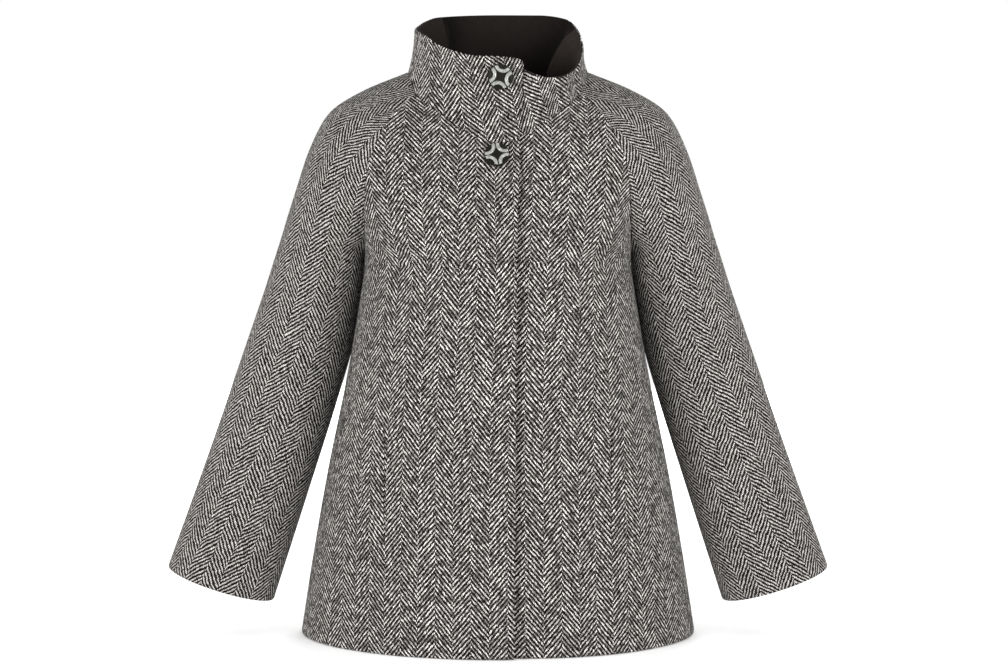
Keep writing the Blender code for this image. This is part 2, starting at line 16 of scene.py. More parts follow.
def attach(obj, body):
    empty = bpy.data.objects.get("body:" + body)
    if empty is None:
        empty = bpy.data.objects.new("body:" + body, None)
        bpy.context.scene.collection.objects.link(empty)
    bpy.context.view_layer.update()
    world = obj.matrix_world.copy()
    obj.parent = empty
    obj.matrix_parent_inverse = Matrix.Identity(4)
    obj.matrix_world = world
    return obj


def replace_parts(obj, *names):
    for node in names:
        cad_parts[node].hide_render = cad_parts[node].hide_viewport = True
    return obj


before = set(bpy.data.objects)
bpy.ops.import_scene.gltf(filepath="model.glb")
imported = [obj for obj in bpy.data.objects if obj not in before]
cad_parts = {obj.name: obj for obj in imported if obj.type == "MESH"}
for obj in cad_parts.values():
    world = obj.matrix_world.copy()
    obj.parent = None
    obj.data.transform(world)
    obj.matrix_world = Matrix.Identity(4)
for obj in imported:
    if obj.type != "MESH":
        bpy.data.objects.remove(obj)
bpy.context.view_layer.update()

# Cloth
WALL = 0.003
FACING_WALL = 0.0015
WELT_WALL = 0.0016
SEAM_GAP = 0.0001
LAYER_GAP = 0.0003
SEAM_DIP = 0.0002
SEAM_SOFTNESS = 0.0022
EDGE_ROLL = 0.0045
EDGE_LEFT = 0.00005
TURNED_IN = 0.036
CLOTH_SHARP_ANGLE = math.radians(50.0)
CREASE_FADE = 0.35
FLUTE_SHARPNESS = 2.0

# Fine grid: the usual distance between its lines, and the closer lines along each edge
STEP = 0.0042
EDGE_STEPS = np.array([0.0, 0.0002, 0.0007, 0.0016, 0.0030, 0.0055])
FLAT_STEP = 0.014
FLAT_ROUNDS = 40

# Levels of the body: -1 at the hem, 0 at the armpits, 1 at the neck
HEM_HEIGHT = -0.6725
ARMPIT_HEIGHT = -0.228
YOKE_RISE = 0.21
LEVEL_RISE_POWER = 1.6
FRONT_WIDTH = 0.27
BACK_WIDTH = 0.52

# Lap of the fronts: how far each edge passes the centre line, and how far the layers part there
OVERLAP_HEM = 0.019
OVERLAP_NECK = 0.025
LAP_LIFT = 0.0030
LAP_FLAT_TO = 0.030
LAP_FADES_BY = 0.090

# Neckline, an egg seen from above; angles run from the front centre to the back centre
NECK_HALF_WIDTH = 0.107
NECK_FRONT = 0.092
NECK_BACK = 0.080
FRONT_SEAM_ANGLE = 64.0
BACK_SEAM_ANGLE = 128.0
NECK_PULL_FROM = 0.45

# Sleeves: lengths along the ridge from the armpit section, up to the neck and down to the cuff
YOKE_LENGTH = 0.266
SLEEVE_LENGTH = 0.411
SLEEVE_HALF_WIDTH = 0.19

# Collar: "round" runs from the front centre over the wearer's right, the back and the left to the front
COLLAR_START = -13.5
COLLAR_END = 373.0
COLLAR_HOLLOW = 0.002
COLLAR_END_SLANT = 4.5
COLLAR_SLANT_FADES_IN = 35.0
COLLAR_ROUND_LENGTH = 0.66
COLLAR_HEIGHT = 0.085
FACING_FOOT = 0.03
FACING_HOLD = 0.014
FACING_END_INSET = 0.001
# Width of the step from painted shade to painted light at a fold of the facing
FOLD_SHADE_EDGE = 0.0014

# Lie of the collar's weave: level, but rising to the right front and falling with the seam at the left
COLLAR_RISE_FROM = 0.085
COLLAR_RISE_SLOPE = 0.36
COLLAR_LEAN = 0.30
COLLAR_LEAN_TO = 90.0
COLLAR_LEFT_LEAN = 0.35
COLLAR_FALL_FROM = 268.0
COLLAR_FALL_TO = 315.0

# Pocket welts, upright strips on the fronts
WELT_NEAR = 0.130
WELT_FAR = 0.157
WELT_TOP = -0.418
WELT_FOOT = -0.548
WELT_PATTERN_SHIFT = 0.0012

# Buttons: a dished disc, the crescents let into it, and the thread under it
BUTTON_RADIUS = 0.0148
BUTTON_THICKNESS = 0.0032
BUTTON_SIDES = 72
BUTTON_DISH = 0.0005
BUTTON_RIM = 0.0011
BUTTON_RIM_SLOPE = 0.0008
BUTTON_CROWN = 0.0001
BUTTON_CROWN_SHARE = 0.4
BUTTON_EASE = 0.0007
INLAY_GAP = 0.00015
CRESCENT_COUNT = 4
CRESCENT_OUT = 0.0155
CRESCENT_RADIUS = 0.0085
CRESCENT_STEPS = 120
CRESCENT_SWEEP = 62.0
CRESCENT_HALF_WIDTH = 0.0021
CRESCENT_SIDES = 28
CRESCENT_HEIGHT = 0.0017
CRESCENT_EASE = 0.0011
THREAD_RADIUS = 0.0023
THREAD_LENGTH = 0.0028
THREAD_SIDES = 24
THREAD_WAIST = 0.72
THREAD_EASE = 0.0003
THREAD_GAP = 0.0002
SHARP_ANGLE = math.radians(38.0)
SAME_WAY = 0.999
UP = Vector((0.0, 0.0, 1.0))

# Places of the buttons: how far each stands off the cloth, and the heading of its first crescent
COLLAR_BUTTON_ROUND = 0.4
COLLAR_BUTTON_SHARE = 0.76
COLLAR_BUTTON_STAND = 0.0012
COLLAR_BUTTON_HEADING = -14.0
NECK_BUTTON_LEVEL = 0.888
NECK_BUTTON_STAND = 0.0030
NECK_BUTTON_HEADING = 50.0

# Weave: a two-and-two twill that turns round after every stripe
END_PITCH = 0.00131
PICK_PITCH = 0.00150
STRIPE_ENDS = 16.0
TWILL_OVER = 2.0
TWILL_REPEAT = 4.0
RIGHT_FRONT_APEX = 0.0113
LEFT_FRONT_APEX = 0.0316
RIGHT_FRONT_DRIFT = 0.0050
LEFT_FRONT_DRIFT = 0.0085
DRIFT_FROM = -0.43
DRIFT_TO = -0.20
SLEEVE_APEX = 0.0210
SLEEVE_GRAIN_TURN = 0.070

# Yarns: how far they stray, their slubs and hairs, and the paler and darker patches of the weave
BODY_STRAY = 1.3
SLEEVE_STRAY = 3.2
SLOW_STRAY_SCALE = 55.0
QUICK_STRAY = 1.5
QUICK_STRAY_SCALE = 300.0
SLUB_SCALE = 0.30
SLUB_SPREAD = 3.7
PICK_SLUB_START = 9.0
FLOAT_WIDENING = 2.6
HAIR_SCALE = 1500.0
HAIR_RELIEF = 0.6
BODY_PATCHES = 0.48
SLEEVE_PATCHES = 0.15
PATCH_MIDDLE = 0.80
PATCH_OVER_LINES = 0.25
PATCH_ALONG_LINES = 0.14
PATCH_STRIPE_STEP = 5.3

# Ribs of the black cloths, as radians of their wave in a metre
FACING_RIBS = 9000.0
FACING_RIB_RELIEF = 0.25
LINING_RIBS = 7000.0

# Colours
LIGHT_YARN = (0.59, 0.565, 0.54)
DARK_YARN = (0.0062, 0.0052, 0.0046)
FACING_BLACK = (0.0088, 0.0071, 0.0064)
FACING_SHEEN = (0.9, 0.72, 0.66, 1.0)
LINING_BLACK = (0.013, 0.012, 0.0115)
BUTTON_BLACK = (0.007, 0.0066, 0.0056)
THREAD_BLACK = (0.016, 0.015, 0.014)
INLAY_DARK = (0.07, 0.074, 0.066, 1.0)
INLAY_PALE = (0.30, 0.305, 0.285, 1.0)
FLOOR_WHITE = (0.93, 0.93, 0.93, 1.0)
WHITE = (1.0, 1.0, 1.0, 1.0)

# Camera, floor and lights
PIXEL = 0.0012
IMAGE_WIDTH = 1008
SENSOR = 36.0
CAMERA_PLACE = Vector((0.0072, -2.65, -0.150))
CAMERA_AIM = Vector((0.0072, 0.0, -0.3168))
FLOOR_GAP = 0.001
FLOOR_SIZE = 60.0
FLOOR_GLOW = 0.08
LIGHT_AIM = Vector((0.0, 0.0, -0.30))

Section = namedtuple("Section", "centre_y centre_z seam_out seam_y seam_z fan")
Panel = namedtuple("Panel", "grid normals flat")
Flute = namedtuple("Flute", "round spread depth top")
Crease = namedtuple("Crease", "start end bow half_width depth fade far_half_width",
                    defaults=(CREASE_FADE, None))
# Painted light and shade beside a fold of the facing: which side the band lies on, and the shares of band
# and hollow
FoldShade = namedtuple("FoldShade", "band_way band hollow hollow_width")
Light = namedtuple("Light", "place width height power")


class Table:
    """Rows of named columns, read at any station of the first column by a curve that never overshoots."""

    def __init__(self, columns, rows):
        self.columns = columns.split()
        self.rows = np.array(sorted(rows), float)

    def read(self, column, station):
        stations = self.rows[:, 0]
        values = self.rows[:, self.columns.index(column)]
        slopes = steady_slopes(stations, values)
        at = np.clip(station, stations[0], stations[-1])
        low = np.clip(np.searchsorted(stations, at) - 1, 0, len(stations) - 2)
        span = stations[low + 1] - stations[low]
        s = (at - stations[low]) / span
        return (values[low] * (1 + 2 * s) * (1 - s) ** 2 + slopes[low] * span * s * (1 - s) ** 2
                + values[low + 1] * s * s * (3 - 2 * s) + slopes[low + 1] * span * s * s * (s - 1))


def steady_slopes(stations, values):
    """Slopes at each row for a cubic that rises and falls only where the rows do."""
    steps = np.diff(stations)
    rises = np.diff(values) / steps
    slopes = np.zeros_like(values)
    slopes[0], slopes[-1] = rises[0], rises[-1]
    for i in range(1, len(values) - 1):
        if rises[i - 1] * rises[i] > 0:
            before = 2 * steps[i] + steps[i - 1]
            after = steps[i] + 2 * steps[i - 1]
            slopes[i] = (before + after) / (before / rises[i - 1] + after / rises[i])
    return slopes


# Skirt below the armpits: half width at the side seams, and depth at the front and back centre lines
SKIRT = Table("height half_width front back", [
    (-0.6725, 0.2372, 0.175, 0.167),
    (-0.588, 0.2240, 0.170, 0.160),
    (-0.480, 0.2050, 0.164, 0.151),
    (-0.340, 0.1765, 0.153, 0.136),
    (-0.228, 0.1580, 0.140, 0.123),
])

# Centre lines above the armpits, and how far round its ellipse each half section fans out
YOKE = Table("level front_y front_z front_fan back_y back_z back_fan", [
    (0.00, -0.140, -0.228, 90.0, 0.123, -0.228, 90.0),
    (0.10, -0.139, -0.214, 80.0, 0.1235, -0.202, 80.0),
    (0.25, -0.135, -0.193, 64.0, 0.1230, -0.166, 64.0),
    (0.50, -0.124, -0.158, 55.0, 0.1170, -0.114, 57.0),
    (0.75, -0.109, -0.123, 54.0, 0.1030, -0.062, 55.0),
    (1.00, -0.092, -0.089, 58.0, 0.0800, -0.013, 52.0),
])

# Sleeve sections from neck to cuff. A section runs from its front edge over the ridge to its back edge.
# An edge turn of -90 closes the section into a ring, at the armpit and below.
SLEEVE = Table(
    "along ridge_out ridge_z front_out front_z front_turn back_out back_z back_turn "
    "front_depth back_depth ridge_y edge_y", [
        (0.266, 0.1070, -0.002, 0.0960, -0.029, 25.0, 0.0840, -0.009, 25.0, 0.0485, 0.050, 0.004, 0.004),
        (0.206, 0.1632, -0.025, 0.1210, -0.054, 25.0, 0.1080, -0.033, 22.0, 0.088, 0.084, 0.008, 0.008),
        (0.160, 0.2015, -0.050, 0.1375, -0.082, 29.0, 0.1280, -0.061, 18.0, 0.113, 0.0915, 0.011, 0.011),
        (0.110, 0.2255, -0.093, 0.1500, -0.115, 12.0, 0.1460, -0.100, 5.0, 0.106, 0.0885, 0.013, 0.012),
        (0.060, 0.2420, -0.141, 0.1550, -0.159, -15.0, 0.1550, -0.150, -15.0, 0.088, 0.082, 0.014, 0.010),
        (0.025, 0.2525, -0.173, 0.1570, -0.199, -45.0, 0.1575, -0.196, -45.0, 0.0735, 0.0735, 0.015, 0.007),
        (0.000, 0.2605, -0.199, 0.1605, -0.229, -90.0, 0.1605, -0.229, -90.0, 0.063, 0.064, 0.015, 0.004),
        (-0.030, 0.2700, -0.228, 0.1627, -0.260, -90.0, 0.1627, -0.260, -90.0, 0.066, 0.061, 0.015, 0.018),
        (-0.060, 0.2790, -0.256, 0.1680, -0.290, -90.0, 0.1680, -0.290, -90.0, 0.062, 0.059, 0.015, 0.022),
        (-0.100, 0.2920, -0.294, 0.1755, -0.330, -90.0, 0.1755, -0.330, -90.0, 0.059, 0.057, 0.013, 0.021),
        (-0.140, 0.3050, -0.332, 0.1865, -0.370, -90.0, 0.1865, -0.370, -90.0, 0.057, 0.056, 0.010, 0.016),
        (-0.280, 0.3500, -0.464, 0.2280, -0.503, -90.0, 0.2280, -0.503, -90.0, 0.056, 0.055, -0.004, -0.004),
        (-0.411, 0.3950, -0.591, 0.2690, -0.632, -90.0, 0.2690, -0.631, -90.0, 0.057, 0.056, -0.020, -0.020),
    ])

# Height of the neckline seam at each angle from the front centre
NECKLINE = Table("angle height", [
    (0.0, -0.089),
    (15.0, -0.080),
    (30.0, -0.063),
    (60.0, -0.033),
    (90.0, -0.002),
    (112.0, -0.006),
    (135.0, -0.010),
    (180.0, -0.013),
])

# Collar rim round the neck: its height, and how far it leans out from the seam below it.
# The lower left front sags open below the lap.
COLLAR_RIM = Table("round height lean", [
    (-18.0, 0.0040, -0.0075),
    (-15.0, 0.0085, -0.0075),
    (0.0, 0.0115, -0.0075),
    (15.0, 0.0125, -0.0075),
    (30.0, 0.0180, -0.0080),
    (45.0, 0.0265, -0.0080),
    (60.0, 0.0385, -0.0075),
    (80.0, 0.0470, -0.0075),
    (100.0, 0.0525, -0.0075),
    (115.0, 0.0600, -0.0085),
    (132.0, 0.0665, -0.0080),
    (180.0, 0.0710, -0.0055),
    (210.0, 0.0700, -0.0045),
    (232.0, 0.0645, -0.0025),
    (250.0, 0.0500, -0.0035),
    (262.0, 0.0360, -0.0045),
    (276.0, 0.0210, -0.0045),
    (290.0, 0.0090, -0.0020),
    (305.0, -0.0040, 0.0025),
    (318.0, -0.0115, 0.0050),
    (328.0, -0.0130, 0.0045),
    (338.0, -0.0070, -0.0035),
    (346.0, 0.0000, -0.0075),
    (355.0, 0.0050, -0.0075),
    (373.0, 0.0080, -0.0075),
])

# Soft flutes of the skirt, on the wearer's right (positive round) and left: where, how wide, how deep
# at the hem (out is positive), and the level where each one fades out
FLUTES = [
    Flute(26.0, 15.0, 0.0018, -0.45),
    Flute(-34.0, 17.0, 0.0015, -0.50),
    Flute(118.0, 13.0, -0.0050, -0.30),
    Flute(139.0, 12.0, 0.0070, -0.15),
    Flute(160.0, 11.0, -0.0055, -0.30),
    Flute(181.0, 12.0, 0.0045, -0.40),
    Flute(-156.0, 12.0, -0.0060, -0.25),
    Flute(-134.0, 13.0, 0.0060, -0.20),
    Flute(-112.0, 13.0, -0.0045, -0.40),
]

# Creases of each piece on its flat cut: start and end (across, up), how far it bows aside, half width, depth
# (out is positive), and where they differ from the usual, the share that fades and the half width at the
# left. The last one of the left front sinks it along the lap's edge.
CREASES = {
    "front_right": [
        Crease((-0.150, -0.215), (-0.085, -0.135), 0.008, 0.010, -0.0016),
        Crease((-0.165, -0.235), (-0.075, -0.185), -0.006, 0.013, -0.0014),
        Crease((-0.160, -0.260), (-0.105, -0.420), 0.010, 0.018, 0.0012),
        Crease((-0.060, -0.330), (-0.075, -0.640), -0.006, 0.026, -0.0013),
    ],
    "front_left": [
        Crease((0.152, -0.212), (0.098, -0.130), -0.009, 0.009, -0.0018),
        Crease((0.160, -0.240), (0.090, -0.200), 0.006, 0.012, -0.0012),
        Crease((0.135, -0.290), (0.110, -0.480), -0.008, 0.020, 0.0013),
        Crease((0.065, -0.360), (0.085, -0.660), 0.006, 0.024, -0.0014),
        Crease((-0.0122, -0.720), (-0.0155, -0.085), -0.0030, 0.0055, -0.0038, 0.06),
    ],
    "back": [
        Crease((-0.145, -0.200), (-0.070, -0.120), 0.008, 0.011, -0.0018),
        Crease((0.150, -0.205), (0.085, -0.110), -0.008, 0.010, -0.0016),
        Crease((-0.155, -0.235), (-0.080, -0.215), 0.005, 0.012, -0.0012),
        Crease((0.155, -0.240), (0.095, -0.205), -0.005, 0.013, -0.0014),
        Crease((-0.055, -0.040), (0.045, -0.046), 0.006, 0.009, -0.0010),
    ],
    "sleeve_right": [
        Crease((-0.151, 0.012), (-0.153, -0.080), 0.0, 0.011, 0.0028, 0.25),
        Crease((-0.128, -0.030), (-0.038, 0.050), 0.010, 0.011, -0.0018),
        Crease((0.172, -0.035), (0.092, 0.055), -0.010, 0.011, -0.0018),
        Crease((-0.143, -0.130), (-0.028, -0.155), 0.006, 0.013, -0.0016),
        Crease((-0.133, -0.205), (-0.048, -0.190), -0.006, 0.012, -0.0012),
        Crease((0.182, -0.110), (0.087, -0.165), 0.006, 0.014, -0.0015),
        Crease((0.162, -0.245), (0.082, -0.215), 0.004, 0.012, -0.0011),
    ],
    "sleeve_left": [
        Crease((0.151, 0.014), (0.154, -0.084), 0.0, 0.011, 0.0028, 0.25),
        Crease((-0.172, -0.040), (-0.087, 0.040), 0.008, 0.012, -0.0016),
        Crease((0.128, -0.030), (0.038, 0.045), -0.010, 0.010, -0.0019),
        Crease((-0.182, -0.150), (-0.082, -0.130), -0.006, 0.013, -0.0015),
        Crease((-0.172, -0.235), (-0.087, -0.205), 0.005, 0.012, -0.0012),
        Crease((0.138, -0.140), (0.033, -0.150), -0.006, 0.013, -0.0016),
        Crease((0.128, -0.190), (0.053, -0.230), 0.005, 0.012, -0.0010),
    ],
    "collar_facing": [
        Crease((0.124, 0.070), (-0.056, -0.230), 0.0, 0.009, -0.0280, 0.24, 0.060),
        Crease((-0.078, 0.081), (-0.092, -0.219), 0.0, 0.040, -0.0190, 0.24, 0.008),
    ],
}

# Painted light and shade of the facing beside its two folds, as shares of its usual shade: a painted paler
# band on the raised side, painted shade in the hollow behind it. The band lies to the left (1) or right (-1)
# of the fold's way.
FACING_FOLD_SHADE = [
    FoldShade(1.0, 1.9, 0.40, 0.085),
    FoldShade(-1.0, 1.1, 0.25, 0.050),
]

# Soft studio lights
LIGHTS = {
    "right_light": Light(Vector((-2.3, -2.5, -0.05)), 1.9, 1.0, 105.0),
    "left_light": Light(Vector((2.3, -2.5, -0.05)), 1.9, 1.0, 96.0),
    "back_light": Light(Vector((0.4, 3.4, 0.3)), 1.9, 1.2, 125.0),
}


def smooth(low, high, value):
    """Eased share of the way from low to high."""
    share = np.clip((value - low) / (high - low), 0.0, 1.0)
    return share * share * (3.0 - 2.0 * share)


# Sections of the body

def neck_point(angle):
    """Neckline seam at an angle from the front centre, as (out, y, z)."""
    radians = np.radians(angle)
    depth = np.where(np.cos(radians) > 0, NECK_FRONT, NECK_BACK)
    folded = 180.0 - np.abs(180.0 - np.abs(angle))
    return np.stack([NECK_HALF_WIDTH * np.sin(radians), -depth * np.cos(radians),
                     NECKLINE.read("height", folded)], axis=-1)


def raglan_point(face, along):
    """Raglan seam on the front or back face at a length above the armpit, as (out, y, z)."""
    sign = -1.0 if face == "front" else 1.0
    turn = math.radians(SLEEVE.read(face + "_turn", along))
    y = SLEEVE.read("edge_y", along) + sign * SLEEVE.read(face + "_depth", along) * math.cos(turn)
    return SLEEVE.read(face + "_out", along), y, SLEEVE.read(face + "_z", along)


def body_section(face, level):
    """Half section of the front or back at a level, from the centre line to its seam."""
    sign = -1.0 if face == "front" else 1.0
    if level <= 0.0:
        height = ARMPIT_HEIGHT + (ARMPIT_HEIGHT - HEM_HEIGHT) * level
        half_width = SKIRT.read("half_width", height)
        return Section(sign * SKIRT.read(face, height), height, half_width, 0.0, height, math.pi / 2)
    seam_out, seam_y, seam_z = raglan_point(face, level * YOKE_LENGTH)
    return Section(YOKE.read(face + "_y", level), YOKE.read(face + "_z", level), seam_out, seam_y, seam_z,
                   math.radians(YOKE.read(face + "_fan", level)))


def section_points(section, turns):
    """Points of a section, an ellipse cut off where it meets its seam, as (out, y, z)."""
    out = section.seam_out * np.sin(turns) / math.sin(section.fan)
    back = (1.0 - np.cos(turns)) / (1.0 - math.cos(section.fan))
    rise = np.abs(turns / section.fan) ** LEVEL_RISE_POWER
    return np.stack([out, section.centre_y + (section.seam_y - section.centre_y) * back,
                     section.centre_z + (section.seam_z - section.centre_z) * rise], axis=-1)


def flute_depth(rounds, level):
    """How far the skirt's flutes move its face out, at angles round the body and a level."""
    depth = np.zeros_like(rounds)
    for flute in FLUTES:
        away = (rounds - flute.round + 180.0) % 360.0 - 180.0
        fade = smooth(flute.top, -1.0, level)
        depth += flute.depth * fade * np.exp(-(away / flute.spread) ** 2 * FLUTE_SHARPNESS)
    return depth


def pulled_to_neck(face, level, points, turns_at, angles):
    """Eases the upper rows so that the last one lies on the neckline."""
    pull = smooth(NECK_PULL_FROM, 1.0, level)
    if pull == 0.0:
        return points
    top = body_section(face, 1.0)
    return points + pull * (neck_point(angles) - section_points(top, turns_at(top)))


def front_turns(section, level, shares):
    """Turns of a front's points on its section, from its front edge (share 0) to its seam (share 1)."""
    overlap = OVERLAP_HEM + (OVERLAP_NECK - OVERLAP_HEM) * (level + 1.0) / 2.0
    edge = -math.asin(overlap * math.sin(section.fan) / section.seam_out)
    return edge + (section.fan - edge) * shares


def front_row(side, level, shares):
    """Outer face of a front along a level, from its front edge (share 0) to its seam (share 1)."""
    def turns_at(section):
        return front_turns(section, level, shares)

    section = body_section("front", level)
    turns = turns_at(section)
    points = section_points(section, turns)
    edge_angle = -math.degrees(math.asin(OVERLAP_NECK / NECK_HALF_WIDTH))
    angles = edge_angle + (FRONT_SEAM_ANGLE - edge_angle) * shares
    points = pulled_to_neck("front", level, points, turns_at, angles)
    depth = flute_depth(-side * np.degrees(turns), level)
    points[:, 0] += depth * np.sin(turns)
    points[:, 1] -= depth * np.cos(turns) - side * lap_lift(points[:, 0])
    points[:, 0] *= side
    return points


def lap_lift(out):
    """How far a front is parted from the middle of the lap, at a distance out from the centre line."""
    return LAP_LIFT * (1.0 - smooth(LAP_FLAT_TO, LAP_FADES_BY, out))


def back_row(level, shares):
    """Outer face of the back along a level, from the wearer's right seam to the left one."""
    def turns_at(section):
        return section.fan * (2.0 * shares - 1.0)

    section = body_section("back", level)
    turns = turns_at(section)
    points = section_points(section, turns)
    angles = 180.0 + (180.0 - BACK_SEAM_ANGLE) * (1.0 - 2.0 * shares)
    points = pulled_to_neck("back", level, points, turns_at, angles)
    depth = flute_depth(180.0 + np.degrees(turns), level)
    points[:, 0] += depth * np.sin(turns)
    points[:, 1] += depth * np.cos(turns)
    return points


# Sections of the sleeve

def half_sleeve(face, along, shares):
    """Half of a sleeve section, from its edge (share 0) to the ridge (share 1), as (out, y, z)."""
    sign = -1.0 if face == "front" else 1.0
    edge_turn = math.radians(SLEEVE.read(face + "_turn", along))
    turns = edge_turn + (math.pi / 2 - edge_turn) * shares
    lean = math.sin(edge_turn)
    ridge = np.array([SLEEVE.read(column, along) for column in ("ridge_out", "ridge_y", "ridge_z")])
    edge = np.array([SLEEVE.read(column, along) for column in (face + "_out", "edge_y", face + "_z")])
    centre = (edge - ridge * lean) / (1.0 - lean)
    points = centre + np.sin(turns)[:, None] * (ridge - centre)
    points[:, 1] += sign * SLEEVE.read(face + "_depth", along) * np.cos(turns)
    return points


def sleeve_row(side, along, half_shares):
    """Outer face of a sleeve at a length from the armpit: front edge, over the ridge, to the back edge."""
    front = half_sleeve("front", along, half_shares)
    back = half_sleeve("back", along, half_shares)
    pull = smooth(NECK_PULL_FROM, 1.0, along / YOKE_LENGTH)
    if pull > 0.0:
        front_angles = FRONT_SEAM_ANGLE + (90.0 - FRONT_SEAM_ANGLE) * half_shares
        back_angles = BACK_SEAM_ANGLE + (90.0 - BACK_SEAM_ANGLE) * half_shares
        front += pull * (neck_point(front_angles) - half_sleeve("front", YOKE_LENGTH, half_shares))
        back += pull * (neck_point(back_angles) - half_sleeve("back", YOKE_LENGTH, half_shares))
    points = np.concatenate([front, back[-2::-1]])
    points[:, 0] *= side
    return points


# Sections of the collar

def collar_row(share, rounds):
    """Outer face of the collar round the neck, at a share of the way from its seam to its rim."""
    slant = 1.0 - smooth(COLLAR_START, COLLAR_START + COLLAR_SLANT_FADES_IN, rounds)
    rounds = rounds - COLLAR_END_SLANT * share * slant
    radians = np.radians(rounds)
    foot = neck_point(rounds % 360.0)
    foot[:, 0] *= -1.0
    over = np.where(rounds < 90.0, -1.0, np.where(rounds > 270.0, 1.0, 0.0))
    foot[:, 1] += over * lap_lift(np.where(rounds < 90.0, -foot[:, 0], foot[:, 0]))
    outward = np.stack([-np.sin(radians), -np.cos(radians), np.zeros_like(radians)], axis=-1)
    rim = foot + outward * COLLAR_RIM.read("lean", rounds)[:, None]
    rim[:, 2] = COLLAR_RIM.read("height", rounds)
    hollow = COLLAR_HOLLOW * 4.0 * share * (1.0 - share)
    return foot + (rim - foot) * share - outward * hollow


# Fine grids

def spaced(length, fine_end=True):
    """Shares of a length, close together along its edges and a step apart between them."""
    last = length - EDGE_STEPS[-1] if fine_end else length
    count = max(2, round((last - EDGE_STEPS[-1]) / STEP))
    places = np.concatenate([EDGE_STEPS[:-1], np.linspace(EDGE_STEPS[-1], last, count + 1)])
    if fine_end:
        places = np.concatenate([places, length - EDGE_STEPS[-2::-1]])
    return places / length


def body_levels():
    """Levels of the lines across the body, from the hem to the neck."""
    skirt_length = ARMPIT_HEIGHT - HEM_HEIGHT
    up = spaced(skirt_length + YOKE_RISE) * (skirt_length + YOKE_RISE)
    return np.where(up < skirt_length, up / skirt_length - 1.0, (up - skirt_length) / YOKE_RISE)


def grid_normals(grid, inside):
    """Normals of a grid, turned away from the points inside it."""
    normals = np.cross(np.gradient(grid, axis=0), np.gradient(grid, axis=1))
    normals /= np.linalg.norm(normals, axis=2, keepdims=True)
    return normals * np.sign(np.sum(normals * (grid - inside)))


def edge_distances(grid):
    """How far each point is from the foot, the top, the start and the end of its grid, along its lines."""
    up = np.linalg.norm(np.diff(grid, axis=0), axis=2).cumsum(axis=0)
    up = np.concatenate([np.zeros((1, grid.shape[1])), up])
    across = np.linalg.norm(np.diff(grid, axis=1), axis=2).cumsum(axis=1)
    across = np.concatenate([np.zeros((grid.shape[0], 1)), across], axis=1)
    return {"foot": up, "top": up[-1] - up, "start": across, "end": across[:, -1:] - across}


def drawn_in(line, neighbours, distance):
    """A line of edge points moved a small distance towards the next line."""
    step = neighbours - line
    return line + step * (distance / np.linalg.norm(step, axis=-1, keepdims=True))


def part_seams(grid, edges):
    """Draws the sewn edges of a grid in by half a gap."""
    lines = {
        "start": (np.s_[:, 0], np.s_[:, 2]),
        "end": (np.s_[:, -1], np.s_[:, -3]),
        "foot": (np.s_[0], np.s_[2]),
        "top": (np.s_[-1], np.s_[-3]),
    }
    for edge, (line, inside) in lines.items():
        if edges[edge] == "sewn":
            grid[line] = drawn_in(grid[line], grid[inside], SEAM_GAP / 2.0)


# Flat cuts

def grid_triangles(rows, columns):
    """Vertex numbers of the two triangles in each square of a grid."""
    numbers = np.arange(rows * columns).reshape(rows, columns)
    a, b = numbers[:-1, :-1].ravel(), numbers[:-1, 1:].ravel()
    c, d = numbers[1:, 1:].ravel(), numbers[1:, :-1].ravel()
    return np.concatenate([np.stack([a, b, c], axis=1), np.stack([a, c, d], axis=1)])


def fitted_flat(grid, start):
    """Flat cut of a curved grid: its triangles are laid flat one by one and fitted together, in rounds."""
    corners = grid_triangles(*grid.shape[:2])
    flat = start.reshape(-1, 2)
    first = flat[corners[:, 1]] - flat[corners[:, 0]]
    second = flat[corners[:, 2]] - flat[corners[:, 0]]
    if np.sum(first[:, 0] * second[:, 1] - first[:, 1] * second[:, 0]) < 0:
        corners = corners[:, ::-1]
    solid = grid.reshape(-1, 3)[corners]
    base = solid[:, 1] - solid[:, 0]
    other = solid[:, 2] - solid[:, 0]
    length = np.linalg.norm(base, axis=1)
    local = np.zeros((len(corners), 3, 2))
    local[:, 1, 0] = length
    local[:, 2, 0] = np.sum(base * other, axis=1) / length
    local[:, 2, 1] = np.linalg.norm(np.cross(base, other), axis=1) / length

    count = len(flat)
    links = []
    pull = np.zeros((count, count))
    for near, far, opposite in ((0, 1, 2), (1, 2, 0), (2, 0, 1)):
        a = local[:, near] - local[:, opposite]
        b = local[:, far] - local[:, opposite]
        weight = 0.5 * np.sum(a * b, axis=1) / np.abs(a[:, 0] * b[:, 1] - a[:, 1] * b[:, 0])
        here, there = corners[:, near], corners[:, far]
        np.add.at(pull, (here, here), weight)
        np.add.at(pull, (there, there), weight)
        np.add.at(pull, (here, there), -weight)
        np.add.at(pull, (there, here), -weight)
        links.append((here, there, weight, local[:, near] - local[:, far]))
    pull[0, 0] += 1.0
    solve = np.linalg.inv(pull)
    for _ in range(FLAT_ROUNDS):
        turned = np.zeros((len(corners), 2, 2))
        for here, there, weight, edge in links:
            turned += weight[:, None, None] * (flat[here] - flat[there])[:, :, None] * edge[:, None, :]
        angle = np.arctan2(turned[:, 1, 0] - turned[:, 0, 1], turned[:, 0, 0] + turned[:, 1, 1])
        cosine, sine = np.cos(angle), np.sin(angle)
        target = np.zeros((count, 2))
        for here, there, weight, edge in links:
            spun = np.stack([cosine * edge[:, 0] - sine * edge[:, 1],
                             sine * edge[:, 0] + cosine * edge[:, 1]], axis=1)
            np.add.at(target, here, weight[:, None] * spun)
            np.add.at(target, there, -weight[:, None] * spun)
        flat = solve @ target
    return flat.reshape(start.shape)


def line_places(grid, axis):
    """Mean distance of each line of a grid from the first."""
    steps = np.linalg.norm(np.diff(grid, axis=axis), axis=2).mean(axis=1 - axis)
    return np.concatenate([[0.0], steps.cumsum()])


